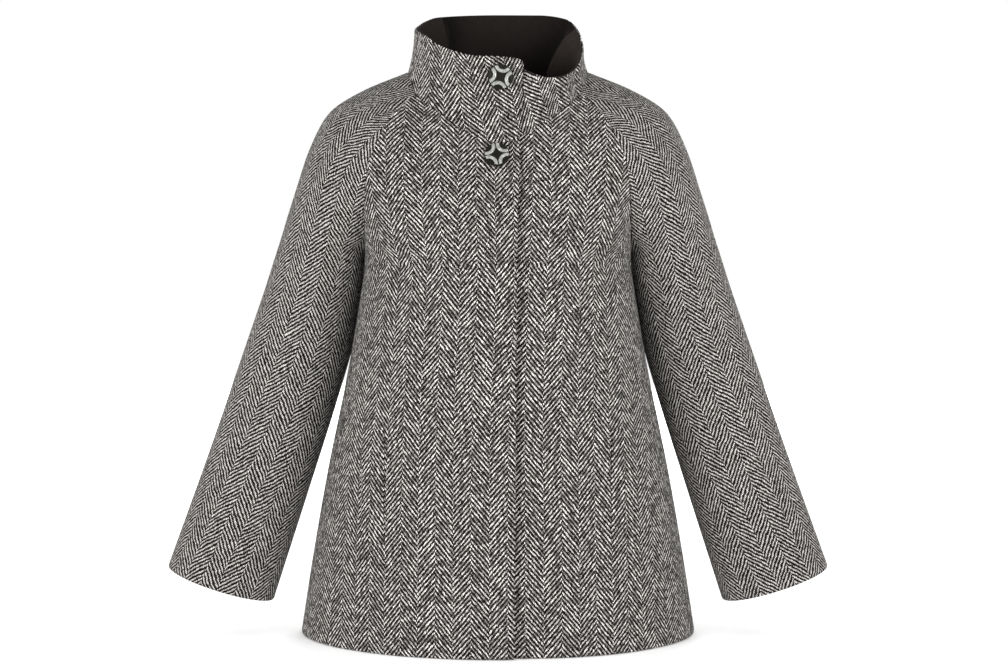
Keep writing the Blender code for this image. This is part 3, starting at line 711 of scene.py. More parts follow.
def coarse_lines(places):
    """Numbers of the lines that lie about a flat step apart."""
    wanted = np.linspace(0.0, places[-1], max(3, round(places[-1] / FLAT_STEP) + 1))
    return np.unique(np.abs(places[:, None] - wanted[None, :]).argmin(axis=0))


def lay_flat(grid, start):
    """Flat cut of a fine grid, worked out on every few lines and filled in between them."""
    row_places, column_places = line_places(grid, 0), line_places(grid, 1)
    rows, columns = coarse_lines(row_places), coarse_lines(column_places)
    coarse = fitted_flat(grid[np.ix_(rows, columns)], start[np.ix_(rows, columns)])
    flat = np.zeros(start.shape)
    for part in range(2):
        lines = [np.interp(column_places, column_places[columns], line) for line in coarse[..., part]]
        wide = np.array(lines)
        filled = [np.interp(row_places, row_places[rows], wide[:, c]) for c in range(wide.shape[1])]
        flat[..., part] = np.array(filled).T
    return flat


def aligned(flat, foot, head, place):
    """Turns a flat cut so that the line from foot to head runs straight up, with its foot at a place."""
    way = flat[head] - flat[foot]
    turn = math.pi / 2 - math.atan2(way[1], way[0])
    spin = np.array([[math.cos(turn), -math.sin(turn)], [math.sin(turn), math.cos(turn)]])
    return (flat - flat[foot]) @ spin.T + np.array(place)


def across_from(grid, column):
    """Distance of each point from a column, along its row."""
    across = edge_distances(grid)["start"]
    return across - across[:, column][:, None]


# Creases

def crease_line(crease):
    """Start of a crease, its length, its way and the way to its left."""
    start = np.array(crease.start)
    way = np.array(crease.end) - start
    length = np.linalg.norm(way)
    way = way / length
    return start, length, way, np.array([-way[1], way[0]])


def crease_lift(name, flat):
    """How far the creases of a piece move its cloth out."""
    lift = np.zeros(flat.shape[:2])
    for crease in CREASES.get(name, []):
        start, length, way, left = crease_line(crease)
        along = (flat - start) @ way / length
        aside = (flat - start) @ left
        aside = aside - crease.bow * 4.0 * along * (1.0 - along)
        fade = smooth(0.0, crease.fade, along) * smooth(1.0, 1.0 - crease.fade, along)
        far = crease.half_width if crease.far_half_width is None else crease.far_half_width
        width = np.where(aside > 0.0, far, crease.half_width)
        lift += crease.depth * fade * np.exp(-(aside / width) ** 2)
    return lift


# Shells

def rolled(share):
    """How far a rounded edge has fallen away, at a share of the way in from it."""
    return 1.0 - np.sqrt(1.0 - (1.0 - np.clip(share, 0.0, 1.0)) ** 2)


def wall_offsets(grid, wall, edges):
    """Offsets of both faces of a wall from its grid, rounded at free edges and dipping at sewn ones."""
    fall = np.zeros(grid.shape[:2])
    rise = np.zeros(grid.shape[:2])
    for edge, distance in edge_distances(grid).items():
        if edges[edge] == "free":
            roll = (wall / 2.0 - EDGE_LEFT) * rolled(distance / EDGE_ROLL)
            fall = np.maximum(fall, roll)
            rise = np.maximum(rise, roll)
        else:
            fall = np.maximum(fall, SEAM_DIP * np.exp(-(distance / SEAM_SOFTNESS) ** 2))
    return -fall, rise - wall


def border_of(rows, columns):
    """Vertex numbers once round the border of a grid."""
    numbers = np.arange(rows * columns).reshape(rows, columns)
    return np.concatenate([numbers[0, :-1], numbers[:-1, -1], numbers[-1, :0:-1], numbers[:0:-1, 0]])


def turned_in(grid, edges):
    """Which faces of a grid lie so near a free edge that the outer cloth is turned in behind them."""
    near = np.full(grid.shape[:2], np.inf)
    for edge, distance in edge_distances(grid).items():
        if edges[edge] == "free":
            near = np.minimum(near, distance)
    return (near[:-1, :-1] < TURNED_IN).ravel()


def add_shell(node, panel, edges, cloth, lining=None, wall=WALL, sunk=0.0, hold=0.0):
    """A closed cloth piece on a panel, with creases that die out within a hold of its top edge."""
    above, below = wall_offsets(panel.grid, wall, edges)
    lift = crease_lift(node, panel.flat)
    if hold:
        lift *= smooth(0.0, hold, edge_distances(panel.grid)["top"])
    lift -= sunk
    outer = panel.grid + panel.normals * (lift + above)[..., None]
    inner = panel.grid + panel.normals * (lift + below)[..., None]
    rows, columns = panel.grid.shape[:2]
    numbers = np.arange(rows * columns).reshape(rows, columns)
    quads = np.stack([numbers[:-1, :-1], numbers[:-1, 1:], numbers[1:, 1:], numbers[1:, :-1]], axis=-1)
    quads = quads.reshape(-1, 4)
    corners = panel.grid.reshape(-1, 3)[quads]
    face_ways = np.cross(corners[:, 2] - corners[:, 0], corners[:, 3] - corners[:, 1])
    border = border_of(rows, columns)
    if np.sum(face_ways * panel.normals.reshape(-1, 3)[quads[:, 0]]) < 0:
        quads = quads[:, ::-1]
        border = border[::-1]
    count = rows * columns
    after = np.roll(border, -1)
    rim = np.stack([after, border, border + count, after + count], axis=-1)
    faces = np.concatenate([quads, quads[:, ::-1] + count, rim])

    mesh = bpy.data.meshes.new(node + "_cloth")
    points = np.concatenate([outer.reshape(-1, 3), inner.reshape(-1, 3)])
    mesh.from_pydata(points.tolist(), [], faces.tolist())
    mesh.materials.append(cloth)
    if lining is not None:
        mesh.materials.append(lining)
        inside = np.where(turned_in(panel.grid, edges), 0, 1)
        indices = np.concatenate([np.zeros(len(quads), int), inside, np.zeros(len(rim), int)])
        mesh.polygons.foreach_set("material_index", indices.astype(np.int32))
    cut = mesh.uv_layers.new(name="cut")
    vertex_of = np.zeros(len(mesh.loops), np.int32)
    mesh.loops.foreach_get("vertex_index", vertex_of)
    places = np.concatenate([panel.flat.reshape(-1, 2)] * 2)[vertex_of]
    cut.data.foreach_set("uv", places.astype(np.float32).ravel())
    mesh.shade_smooth()
    mesh.set_sharp_from_angle(angle=CLOTH_SHARP_ANGLE)
    thing = bpy.data.objects.new(node + "_cloth", mesh)
    bpy.context.scene.collection.objects.link(thing)
    return thing


def declare_cloth(thing, node):
    """Hangs a cloth piece from the root, and hides the solid that it stands for."""
    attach(thing, "root")
    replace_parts(thing, node)


# Shader nodes

class Shading:
    """A material whose nodes are added one after another."""

    def __init__(self, name, roughness):
        self.material = bpy.data.materials.new(name)
        self.material.use_nodes = True
        self.tree = self.material.node_tree
        self.shader = self.tree.nodes["Principled BSDF"]
        self.finish({"Roughness": roughness})

    def finish(self, values):
        """Sets what is the same all over on the shader's own sockets."""
        for socket, value in values.items():
            self.shader.inputs[socket].default_value = value

    def paint(self, colour):
        self.put(self.shader.inputs["Base Color"], colour)

    def add(self, kind, **settings):
        node = self.tree.nodes.new(kind)
        for key, value in settings.items():
            setattr(node, key, value)
        return node

    def put(self, socket, value):
        """Gives a socket another node's output, or a number."""
        if isinstance(value, bpy.types.NodeSocket):
            self.tree.links.new(value, socket)
        else:
            socket.default_value = value

    def calc(self, operation, *values):
        """Result of a Math node."""
        node = self.add("ShaderNodeMath", operation=operation)
        for socket, value in zip(node.inputs, values):
            self.put(socket, value)
        return node.outputs[0]

    def plus(self, first, second):
        return self.calc("ADD", first, second)

    def times(self, first, second):
        return self.calc("MULTIPLY", first, second)

    def times_plus(self, first, second, more):
        return self.calc("MULTIPLY_ADD", first, second, more)

    def between(self, share, low, high):
        """Number at a share of the way from low to high."""
        return self.times_plus(share, high - low, low)

    def eased(self, value, low, high):
        """Eased share of the way from low to high."""
        node = self.add("ShaderNodeMapRange", interpolation_type="SMOOTHSTEP")
        self.put(node.inputs["Value"], value)
        node.inputs["From Min"].default_value = low
        node.inputs["From Max"].default_value = high
        return node.outputs["Result"]

    def vector(self, x, y, z=0.0):
        node = self.add("ShaderNodeCombineXYZ")
        for socket, value in zip(node.inputs, (x, y, z)):
            self.put(socket, value)
        return node.outputs[0]

    def noise(self, place, scale, detail=2.0, output="Fac"):
        """Noise from 0 to 1, or its colour."""
        node = self.add("ShaderNodeTexNoise")
        self.put(node.inputs["Vector"], place)
        node.inputs["Scale"].default_value = scale
        node.inputs["Detail"].default_value = detail
        return node.outputs[output]

    def two_noises(self, place, scale):
        """Two separate noises, each around 0."""
        parts = self.add("ShaderNodeSeparateColor")
        self.put(parts.inputs[0], self.noise(place, scale, output="Color"))
        return [self.calc("SUBTRACT", parts.outputs[channel], 0.5) for channel in range(2)]

    def chosen(self, share, first, second):
        """Number between two others."""
        node = self.add("ShaderNodeMix", data_type="FLOAT")
        self.put(node.inputs[0], share)
        self.put(node.inputs[2], first)
        self.put(node.inputs[3], second)
        return node.outputs[0]

    def mixed(self, share, first, second):
        """Colour between two others."""
        node = self.add("ShaderNodeMix", data_type="RGBA")
        self.put(node.inputs[0], share)
        self.put(node.inputs[6], first)
        self.put(node.inputs[7], second)
        return node.outputs[2]

    def scaled(self, colour, amount):
        node = self.add("ShaderNodeVectorMath", operation="SCALE")
        self.put(node.inputs[0], colour)
        self.put(node.inputs["Scale"], amount)
        return node.outputs[0]

    def bump(self, height, distance, strength):
        node = self.add("ShaderNodeBump")
        self.put(node.inputs["Height"], height)
        node.inputs["Distance"].default_value = distance
        node.inputs["Strength"].default_value = strength
        self.put(self.shader.inputs["Normal"], node.outputs[0])

    def cut_place(self):
        """Place on the flat cut, in metres, as one vector and as its two parts."""
        place = self.add("ShaderNodeUVMap", uv_map="cut").outputs[0]
        parts = self.add("ShaderNodeSeparateXYZ")
        self.put(parts.inputs[0], place)
        return place, parts.outputs[0], parts.outputs[1]

    def object_place(self):
        return self.add("ShaderNodeTexCoord").outputs["Object"]


# Finishes

def yarn_number(shading, place, pitch, slow, slow_stray, quick):
    """Number of yarns up to a place on the cut, moved aside as woollen yarns stray."""
    shift = shading.times_plus(slow, slow_stray, shading.times(quick, QUICK_STRAY))
    return shading.plus(shading.calc("DIVIDE", place, pitch), shift)


def yarn_hump(shading, place):
    """Height across a round yarn, from 0 at its sides to 1 along its middle."""
    off = shading.between(place, -1.0, 1.0)
    return shading.calc("SUBTRACT", 1.0, shading.times(off, off))


def herringbone_wool(name, patches, slow_stray):
    """Black and white twill that turns round after each stripe, drawn yarn by yarn on the flat cut."""
    shading = Shading(name, roughness=0.95)
    place, across, up = shading.cut_place()
    slow_across, slow_up = shading.two_noises(place, SLOW_STRAY_SCALE)
    quick_across, quick_up = shading.two_noises(place, QUICK_STRAY_SCALE)
    ends = yarn_number(shading, across, END_PITCH, slow_across, slow_stray, quick_across)
    picks = yarn_number(shading, up, PICK_PITCH, slow_up, slow_stray, quick_up)

    # Twill: which yarn lies on top at each crossing
    fold = shading.calc("PINGPONG", ends, STRIPE_ENDS)
    stripe = shading.calc("FLOOR", shading.calc("DIVIDE", ends, STRIPE_ENDS))
    turned = shading.calc("FLOORED_MODULO", stripe, 2.0)
    end_number = shading.calc("FLOOR", ends)
    pick_number = shading.calc("FLOOR", picks)
    line = shading.plus(shading.calc("FLOOR", fold), pick_number)
    line = shading.times_plus(turned, TWILL_OVER, line)
    step = shading.calc("FLOORED_MODULO", line, TWILL_REPEAT)
    end_up = shading.calc("LESS_THAN", step, TWILL_OVER - 0.5)

    # Relief: each yarn is round, and humped over the yarns that it crosses
    pick_place = shading.calc("FRACT", picks)
    end_along = shading.times(shading.plus(step, pick_place), 1.0 / TWILL_OVER)
    end_hump = yarn_hump(shading, shading.calc("FRACT", ends))
    end_height = shading.times(end_hump, yarn_hump(shading, end_along))
    pick_step = shading.plus(step, shading.calc("FRACT", fold))
    pick_along = shading.times_plus(pick_step, 1.0 / TWILL_OVER, -1.0)
    pick_height = shading.times(yarn_hump(shading, pick_place), yarn_hump(shading, pick_along))
    height = shading.chosen(end_up, pick_height, end_height)

    # Colour: pale ends with slubs and patches, over dark picks, with painted shade between the yarns
    slub_place = shading.vector(shading.times(end_number, SLUB_SPREAD), picks)
    end_slub = shading.noise(slub_place, SLUB_SCALE)
    slub_place = shading.vector(ends, shading.times(pick_number, SLUB_SPREAD), PICK_SLUB_START)
    pick_slub = shading.noise(slub_place, SLUB_SCALE)
    over_lines = shading.times(shading.plus(fold, picks), PATCH_OVER_LINES)
    along_lines = shading.times(shading.calc("SUBTRACT", fold, picks), PATCH_ALONG_LINES)
    patch_place = shading.vector(over_lines, along_lines, shading.times(stripe, PATCH_STRIPE_STEP))
    patchy = shading.eased(shading.noise(patch_place, scale=1.0), low=0.36, high=0.64)
    brightness = shading.between(patchy, PATCH_MIDDLE - patches, PATCH_MIDDLE + patches)
    light = shading.scaled(LIGHT_YARN, brightness)
    slubby = shading.eased(pick_slub, low=0.40, high=0.70)
    dark = shading.scaled(DARK_YARN, shading.between(slubby, low=0.6, high=4.1))
    narrowed = shading.calc("SUBTRACT", end_height, FLOAT_WIDENING / 2.0)
    float_width = shading.times_plus(end_slub, FLOAT_WIDENING, narrowed)
    pale = shading.times(end_up, shading.eased(float_width, low=0.10, high=0.65))
    # Painted shade in the hollows between the yarns, darker where a yarn dips
    hollow = shading.between(height, low=0.5, high=1.0)
    hairs = shading.noise(place, HAIR_SCALE, detail=3.0)
    hairs_and_crevice_shade = shading.times(hollow, shading.between(hairs, low=0.5, high=1.5))
    shading.paint(shading.scaled(shading.mixed(pale, dark, light), hairs_and_crevice_shade))
    shading.bump(shading.times_plus(hairs, HAIR_RELIEF, height), distance=0.0005, strength=0.6)
    shading.finish({"Specular IOR Level": 0.04, "Sheen Weight": 0.01, "Sheen Roughness": 0.5})
    return shading.material


def painted_fold_shade(shading, across, up, fold, fold_shade):
    """Painted light and shade of the facing on both sides of a fold: paler on the raised band, painted shade
    in the hollow.
    """
    start, _, _, left = crease_line(fold)
    aside = fold_shade.band_way * left
    level = shading.times_plus(up, float(aside[1]), -float(start @ aside))
    distance = shading.times_plus(across, float(aside[0]), level)
    depth = shading.eased(distance, -fold_shade.hollow_width, 0.0)
    hollow = shading.between(depth, 1.0, fold_shade.hollow)
    return shading.chosen(shading.eased(distance, -FOLD_SHADE_EDGE, FOLD_SHADE_EDGE), hollow, fold_shade.band)


def black_facing():
    """Matt black cloth with a fine even weave and a slight nap, and painted light and shade beside each
    fold.
    """
    shading = Shading("black_facing", roughness=0.9)
    place, across, up = shading.cut_place()
    shade = shading.between(shading.noise(place, scale=120.0, detail=4.0), low=0.75, high=1.25)
    # Painted shade in the hollow behind each fold, painted light on the band beside it
    for fold, fold_shade in zip(CREASES["collar_facing"], FACING_FOLD_SHADE):
        shade = shading.times(shade, painted_fold_shade(shading, across, up, fold, fold_shade))
    shading.paint(shading.scaled(FACING_BLACK, shade))
    ribs = shading.calc("SINE", shading.times(shading.plus(across, up), FACING_RIBS))
    fuzz = shading.noise(place, scale=2600.0)
    shading.bump(shading.times_plus(ribs, FACING_RIB_RELIEF, fuzz), distance=0.0003, strength=0.5)
    shading.finish({"Specular IOR Level": 0.05, "Sheen Weight": 0.05, "Sheen Roughness": 0.4,
                    "Sheen Tint": FACING_SHEEN})
    return shading.material


def black_lining():
    """Smooth black lining twill behind the outer cloth."""
    shading = Shading("black_lining", roughness=0.45)
    place, across, up = shading.cut_place()
    cloudy = shading.noise(place, scale=40.0, detail=3.0)
    shading.paint(shading.scaled(LINING_BLACK, shading.between(cloudy, low=0.7, high=1.3)))
    ribs = shading.calc("SINE", shading.times(shading.plus(across, up), LINING_RIBS))
    shading.bump(ribs, distance=0.0002, strength=0.35)
    return shading.material


def black_button():
    """Satin black button body, faintly streaked."""
    shading = Shading("black_button", roughness=0.4)
    streaks = shading.noise(shading.object_place(), scale=900.0, detail=4.0)
    shading.paint(shading.scaled(BUTTON_BLACK, shading.between(streaks, low=0.5, high=1.5)))
    shading.bump(streaks, distance=0.0001, strength=0.25)
    shading.finish({"Specular IOR Level": 0.06})
    return shading.material


def black_thread():
    """Matt black sewing thread, uneven where it is wound."""
    shading = Shading("black_thread", roughness=0.7)
    windings = shading.noise(shading.object_place(), scale=1600.0, detail=3.0)
    shading.paint(shading.scaled(THREAD_BLACK, shading.between(windings, low=0.5, high=1.5)))
    shading.bump(windings, distance=0.0003, strength=0.6)
    return shading.material


def grey_inlay():
    """Pale grey inlay with soft clouds, half glossy."""
    shading = Shading("grey_inlay", roughness=0.22)
    clouds = shading.noise(shading.object_place(), scale=420.0, detail=5.0)
    shading.paint(shading.mixed(shading.between(clouds, low=-0.3, high=1.3), INLAY_DARK, INLAY_PALE))
    shading.bump(clouds, distance=0.0001, strength=0.2)
    shading.finish({"Coat Weight": 0.4, "Coat Roughness": 0.1})
    return shading.material


# Cloth pieces

def sewn_at(*sewn):
    """Which edges of a piece are sewn to others, and which are free."""
    return {edge: "sewn" if edge in sewn else "free" for edge in ("foot", "top", "start", "end")}


FRONT_EDGES = sewn_at("top", "end")
BACK_EDGES = sewn_at("top", "start", "end")
SLEEVE_EDGES = sewn_at("top", "start", "end")
COLLAR_EDGES = sewn_at("foot")
ALL_FREE = sewn_at()
BODY_MIDDLE = np.array([0.0, 0.0, (HEM_HEIGHT + ARMPIT_HEIGHT) / 2.0])


def row_at_height(grid, column, height):
    """Number of the row that passes nearest to a height in a column."""
    return int(np.abs(grid[:, column, 2] - height).argmin())


def front_panel(side, apex, drift):
    """Finely ruled front, with its flat cut: the front edge runs straight up in the skirt."""
    shares = spaced(FRONT_WIDTH)
    grid = np.array([front_row(side, level, shares) for level in body_levels()])
    part_seams(grid, FRONT_EDGES)
    across = side * across_from(grid, 0)
    flat = lay_flat(grid, np.stack([across, grid[..., 2]], axis=-1))
    armpit = row_at_height(grid, 0, ARMPIT_HEIGHT)
    flat = aligned(flat, (0, 0), (armpit, 0), (grid[0, 0, 0] - apex, HEM_HEIGHT))
    flat[..., 0] -= drift * smooth(DRIFT_FROM, DRIFT_TO, flat[..., 1])
    return Panel(grid, grid_normals(grid, BODY_MIDDLE), flat)


def back_panel():
    """Finely ruled back, with its flat cut: the back centre line runs straight up."""
    shares = spaced(BACK_WIDTH)
    grid = np.array([back_row(level, shares) for level in body_levels()])
    part_seams(grid, BACK_EDGES)
    middle = len(shares) // 2
    flat = lay_flat(grid, np.stack([across_from(grid, middle), grid[..., 2]], axis=-1))
    armpit = row_at_height(grid, middle, ARMPIT_HEIGHT)
    flat = aligned(flat, (0, middle), (armpit, middle), (grid[0, middle, 0], HEM_HEIGHT))
    return Panel(grid, grid_normals(grid, BODY_MIDDLE), flat)


def sleeve_panel(side):
    """Finely ruled sleeve, open along its underarm seam, with its flat cut: the ridge runs straight up."""
    half = spaced(SLEEVE_HALF_WIDTH, fine_end=False)
    along = spaced(SLEEVE_LENGTH + YOKE_LENGTH) * (SLEEVE_LENGTH + YOKE_LENGTH) - SLEEVE_LENGTH
    grid = np.array([sleeve_row(side, place, half) for place in along])
    part_seams(grid, SLEEVE_EDGES)
    ridge = len(half) - 1
    rise = np.broadcast_to(along[:, None], grid.shape[:2])
    flat = lay_flat(grid, np.stack([side * across_from(grid, ridge), rise], axis=-1))
    armpit = int(np.abs(along).argmin())
    flat = aligned(flat, (0, ridge), (armpit, ridge), (0.0, -SLEEVE_LENGTH))
    turn = np.array([[1.0, -side * SLEEVE_GRAIN_TURN], [side * SLEEVE_GRAIN_TURN, 1.0]])
    flat = flat @ turn - np.array([side * SLEEVE_APEX, 0.0])
    return Panel(grid, grid_normals(grid, grid.mean(axis=1, keepdims=True)), flat)


def collar_panel():
    """Finely ruled collar, with its flat cut."""
    rounds = COLLAR_START + (COLLAR_END - COLLAR_START) * spaced(COLLAR_ROUND_LENGTH)
    grid = np.array([collar_row(share, rounds) for share in spaced(COLLAR_HEIGHT)])
    part_seams(grid, COLLAR_EDGES)
    middle = int(np.abs(rounds - 180.0).argmin())
    flat = collar_flat(grid, rounds, across_from(grid, middle).mean(axis=0))
    return Panel(grid, grid_normals(grid, np.zeros(3)), flat)


def collar_flat(grid, rounds, across):
    """Flat cut of the collar, a straight band with its foot cut to the neckline."""
    height = grid[..., 2]
    near_end = np.clip(COLLAR_RISE_FROM - (across - across[0]), 0.0, None)
    rise = COLLAR_RISE_SLOPE * near_end ** 2 / (2.0 * COLLAR_RISE_FROM)
    left = smooth(COLLAR_FALL_FROM, COLLAR_FALL_TO, rounds)
    lean = COLLAR_LEAN * (1.0 - smooth(0.0, COLLAR_LEAN_TO, rounds)) + COLLAR_LEFT_LEAN * left
    seam_height = NECKLINE.read("height", np.clip(360.0 - rounds, 0.0, 90.0))
    seam_drop = seam_height - NECKLINE.read("height", 90.0)
    return np.stack([across - lean * height, height - rise - left * seam_drop], axis=-1)


def facing_panel(collar):
    """The collar's own lines above its foot, for the facing behind it."""
    first = int(np.abs(spaced(COLLAR_HEIGHT) - FACING_FOOT).argmin())
    grid = collar.grid[first:].copy()
    grid[:, 0] = drawn_in(grid[:, 0], grid[:, 6], FACING_END_INSET)
    grid[:, -1] = drawn_in(grid[:, -1], grid[:, -7], FACING_END_INSET)
    return Panel(grid, collar.normals[first:], collar.flat[first:])


def welt_panel(under, front):
    """Strip of a front's own points, for the pocket welt that lies on it."""
    levels = body_levels()
    shares = spaced(FRONT_WIDTH)
    lifted = front.grid + front.normals * crease_lift(under, front.flat)[..., None]
    rows = []
    for height in WELT_FOOT + (WELT_TOP - WELT_FOOT) * spaced(WELT_TOP - WELT_FOOT):
        level = (height - ARMPIT_HEIGHT) / (ARMPIT_HEIGHT - HEM_HEIGHT)
        section = body_section("front", level)
        ends = front_turns(section, level, np.array([0.0, 1.0]))
        outs = WELT_NEAR + (WELT_FAR - WELT_NEAR) * spaced(WELT_FAR - WELT_NEAR)
        places = (np.arcsin(outs / section.seam_out) - ends[0]) / (ends[1] - ends[0])
        high = int(np.searchsorted(levels, level))
        share = (level - levels[high - 1]) / (levels[high] - levels[high - 1])
        made = []
        for values in (lifted, front.normals, front.flat):
            line = values[high - 1] * (1.0 - share) + values[high] * share
            made.append([np.interp(places, shares, line[:, part]) for part in range(line.shape[1])])
        rows.append([np.array(part).T for part in made])
    grid, normals, flat = (np.array([row[part] for row in rows]) for part in range(3))
    return Panel(grid, normals, flat + np.array([WELT_PATTERN_SHIFT, WELT_PATTERN_SHIFT]))


# Buttons

def frame_on(point, across, up, stand):
    """A frame standing off a face: X across, Y up the face and Z out of it."""
    x = Vector(across).normalized()
    z = x.cross(Vector(up)).normalized()
    y = z.cross(x)
    turn = Matrix((x, y, z)).transposed().to_4x4()
    return Matrix.Translation(Vector(point) + z * stand) @ turn


def collar_button_frame():
    step = 1.0
    rounds = np.array([COLLAR_BUTTON_ROUND + step, COLLAR_BUTTON_ROUND, COLLAR_BUTTON_ROUND - step])
    row = collar_row(COLLAR_BUTTON_SHARE, rounds)
    above = collar_row(1.0, rounds)
    return frame_on(row[1], row[2] - row[0], above[1] - row[1], COLLAR_BUTTON_STAND)


def neck_button_frame():
    step = 0.02
    section = body_section("front", NECK_BUTTON_LEVEL)
    edge = math.asin(OVERLAP_NECK * math.sin(section.fan) / section.seam_out)
    centre_share = edge / (section.fan + edge)
    shares = np.array([centre_share + step, centre_share, centre_share - step])
    row = front_row(-1.0, NECK_BUTTON_LEVEL, shares)
    above = front_row(-1.0, NECK_BUTTON_LEVEL + step, shares)
    return frame_on(row[1], row[2] - row[0], above[1] - row[1], NECK_BUTTON_STAND)


def start_piece():
    """Leaves nothing selected, so that the next operators act on the new piece alone."""
    if bpy.context.object is not None and bpy.context.object.mode != "OBJECT":
        bpy.ops.object.mode_set(mode="OBJECT")
    bpy.ops.object.select_all(action="DESELECT")


def pick_faces(thing, ways):
    """Selects the faces that point one of some ways, and goes to edit mode."""
    bpy.ops.object.mode_set(mode="EDIT")
    bpy.ops.mesh.select_mode(type="FACE")
    bpy.ops.mesh.select_all(action="DESELECT")
    bpy.ops.object.mode_set(mode="OBJECT")
    for face in thing.data.polygons:
        face.select = any(face.normal.dot(way) > SAME_WAY for way in ways)
    bpy.ops.object.mode_set(mode="EDIT")


def finish_piece(name, material):
    """Names the piece in work and gives it its finish."""
    thing = bpy.context.object
    thing.name = name
    thing.data.name = name
    thing.data.materials.clear()
    thing.data.materials.append(material)
    bpy.ops.object.shade_smooth_by_angle(angle=SHARP_ANGLE)
    return thing


def ease_edges(thing, width, segments):
    """Rounds the sharp edges of a piece."""
    ease = thing.modifiers.new("eased_edge", "BEVEL")
    ease.width = width
    ease.segments = segments
    ease.limit_method = "ANGLE"
    ease.angle_limit = SHARP_ANGLE
    bpy.ops.object.modifier_apply(modifier=ease.name)


def stand_cylinder(sides, radius, height):
    """Starts a piece as a cylinder that stands on the ground."""
    start_piece()
    bpy.ops.mesh.primitive_cylinder_add(vertices=sides, radius=radius, depth=height,
                                        location=(0.0, 0.0, height / 2.0))
    bpy.ops.object.transform_apply(location=True, rotation=False, scale=False)
    return bpy.context.object


def model_disc(material):
    """Round button: a disc with a dished face, a raised rim and eased edges."""
    disc = stand_cylinder(BUTTON_SIDES, BUTTON_RADIUS, BUTTON_THICKNESS)
    pick_faces(disc, [UP])
    bpy.ops.mesh.inset(thickness=BUTTON_RIM, depth=0.0)
    bpy.ops.mesh.inset(thickness=BUTTON_RIM_SLOPE, depth=-BUTTON_DISH)
    bpy.ops.mesh.inset(thickness=BUTTON_RADIUS * BUTTON_CROWN_SHARE, depth=BUTTON_CROWN)
    bpy.ops.object.mode_set(mode="OBJECT")
    ease_edges(disc, BUTTON_EASE, segments=4)
    return finish_piece("disc", material)


def model_crescent(material):
    """Raised crescent: part of a ring, cut to its sweep, halved flat below and rounded at its ends."""
    start_piece()
    bpy.ops.mesh.primitive_torus_add(major_radius=CRESCENT_RADIUS, minor_radius=CRESCENT_HALF_WIDTH,
                                     major_segments=CRESCENT_STEPS, minor_segments=CRESCENT_SIDES,
                                     location=(0.0, 0.0, 0.0))
    ring = bpy.context.object
    bpy.ops.object.mode_set(mode="EDIT")
    sweep = math.radians(CRESCENT_SWEEP)
    ends = [Vector((math.sin(sweep), turn * math.cos(sweep), 0.0)) for turn in (1.0, -1.0)]
    for way in [-UP] + ends:
        bpy.ops.mesh.select_all(action="SELECT")
        bpy.ops.mesh.bisect(plane_co=(0.0, 0.0, 0.0), plane_no=way, use_fill=True, clear_outer=True)
    bpy.ops.object.mode_set(mode="OBJECT")
    pick_faces(ring, ends)
    bpy.ops.mesh.bevel(offset=CRESCENT_EASE, segments=5, affect="EDGES")
    bpy.ops.mesh.select_all(action="SELECT")
    bpy.ops.transform.resize(value=(1.0, 1.0, CRESCENT_HEIGHT / CRESCENT_HALF_WIDTH))
    bpy.ops.mesh.normals_make_consistent(inside=False)
    bpy.ops.object.mode_set(mode="OBJECT")
    return finish_piece("crescent", material)


def model_thread(material):
    """Wound sewing thread under a button: a foot, a narrow waist and a spread top."""
    third = THREAD_LENGTH / 3.0
    stem = stand_cylinder(THREAD_SIDES, THREAD_RADIUS, third)
    pick_faces(stem, [UP])
    for spread in (THREAD_WAIST, 1.0 / THREAD_WAIST):
        bpy.ops.mesh.extrude_region_move(TRANSFORM_OT_translate={"value": (0.0, 0.0, third)})
        bpy.ops.transform.resize(value=(spread, spread, 1.0))
    bpy.ops.object.mode_set(mode="OBJECT")
    ease_edges(stem, THREAD_EASE, segments=3)
    return finish_piece("thread", material)


def placed_copy(pattern, name, place):
    """A copy of a finished piece, with a mesh of its own, put in its place."""
    thing = pattern.copy()
    thing.data = pattern.data.copy()
    thing.name = name
    thing.data.name = name
    thing.data.transform(place)
    bpy.context.scene.collection.objects.link(thing)
    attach(thing, "root")
    return thing


def add_buttons():
    """Both buttons, each with its crescents and its thread, from one pattern of each."""
    disc = model_disc(black_button())
    crescent = model_crescent(grey_inlay())
    thread = model_thread(black_thread())
    seat = Matrix.Translation((0.0, 0.0, BUTTON_THICKNESS - BUTTON_DISH + INLAY_GAP))
    out = Matrix.Translation((CRESCENT_OUT, 0.0, 0.0))
    for node, place, heading, stand in (
            ("button_collar", collar_button_frame(), COLLAR_BUTTON_HEADING, COLLAR_BUTTON_STAND),
            ("button_neck", neck_button_frame(), NECK_BUTTON_HEADING, NECK_BUTTON_STAND)):
        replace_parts(placed_copy(disc, node + "_disc", place), node)
        for number in range(CRESCENT_COUNT):
            turn = Matrix.Rotation(math.radians(heading) + number * math.tau / CRESCENT_COUNT, 4, "Z")
            name = f"{node}_crescent_{number + 1}"
            inlay = placed_copy(crescent, name, place @ seat @ turn @ out)
            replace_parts(inlay, f"{node}_inlay_{number + 1}")
        length = stand - 2.0 * THREAD_GAP
        sewn = Matrix.Translation((0.0, 0.0, -stand + THREAD_GAP))
        height = Matrix.Diagonal((1.0, 1.0, length / THREAD_LENGTH, 1.0))
        placed_copy(thread, node + "_thread", place @ sewn @ height)
    for pattern in (disc, crescent, thread):
        bpy.data.objects.remove(pattern)


# Coat

def add_cloth(node, panel, edges, cloth, slot, rests_on, held="hung", **build):
    thing = add_shell(node, panel, edges, cloth, **build)
    declare_cloth(thing, node)


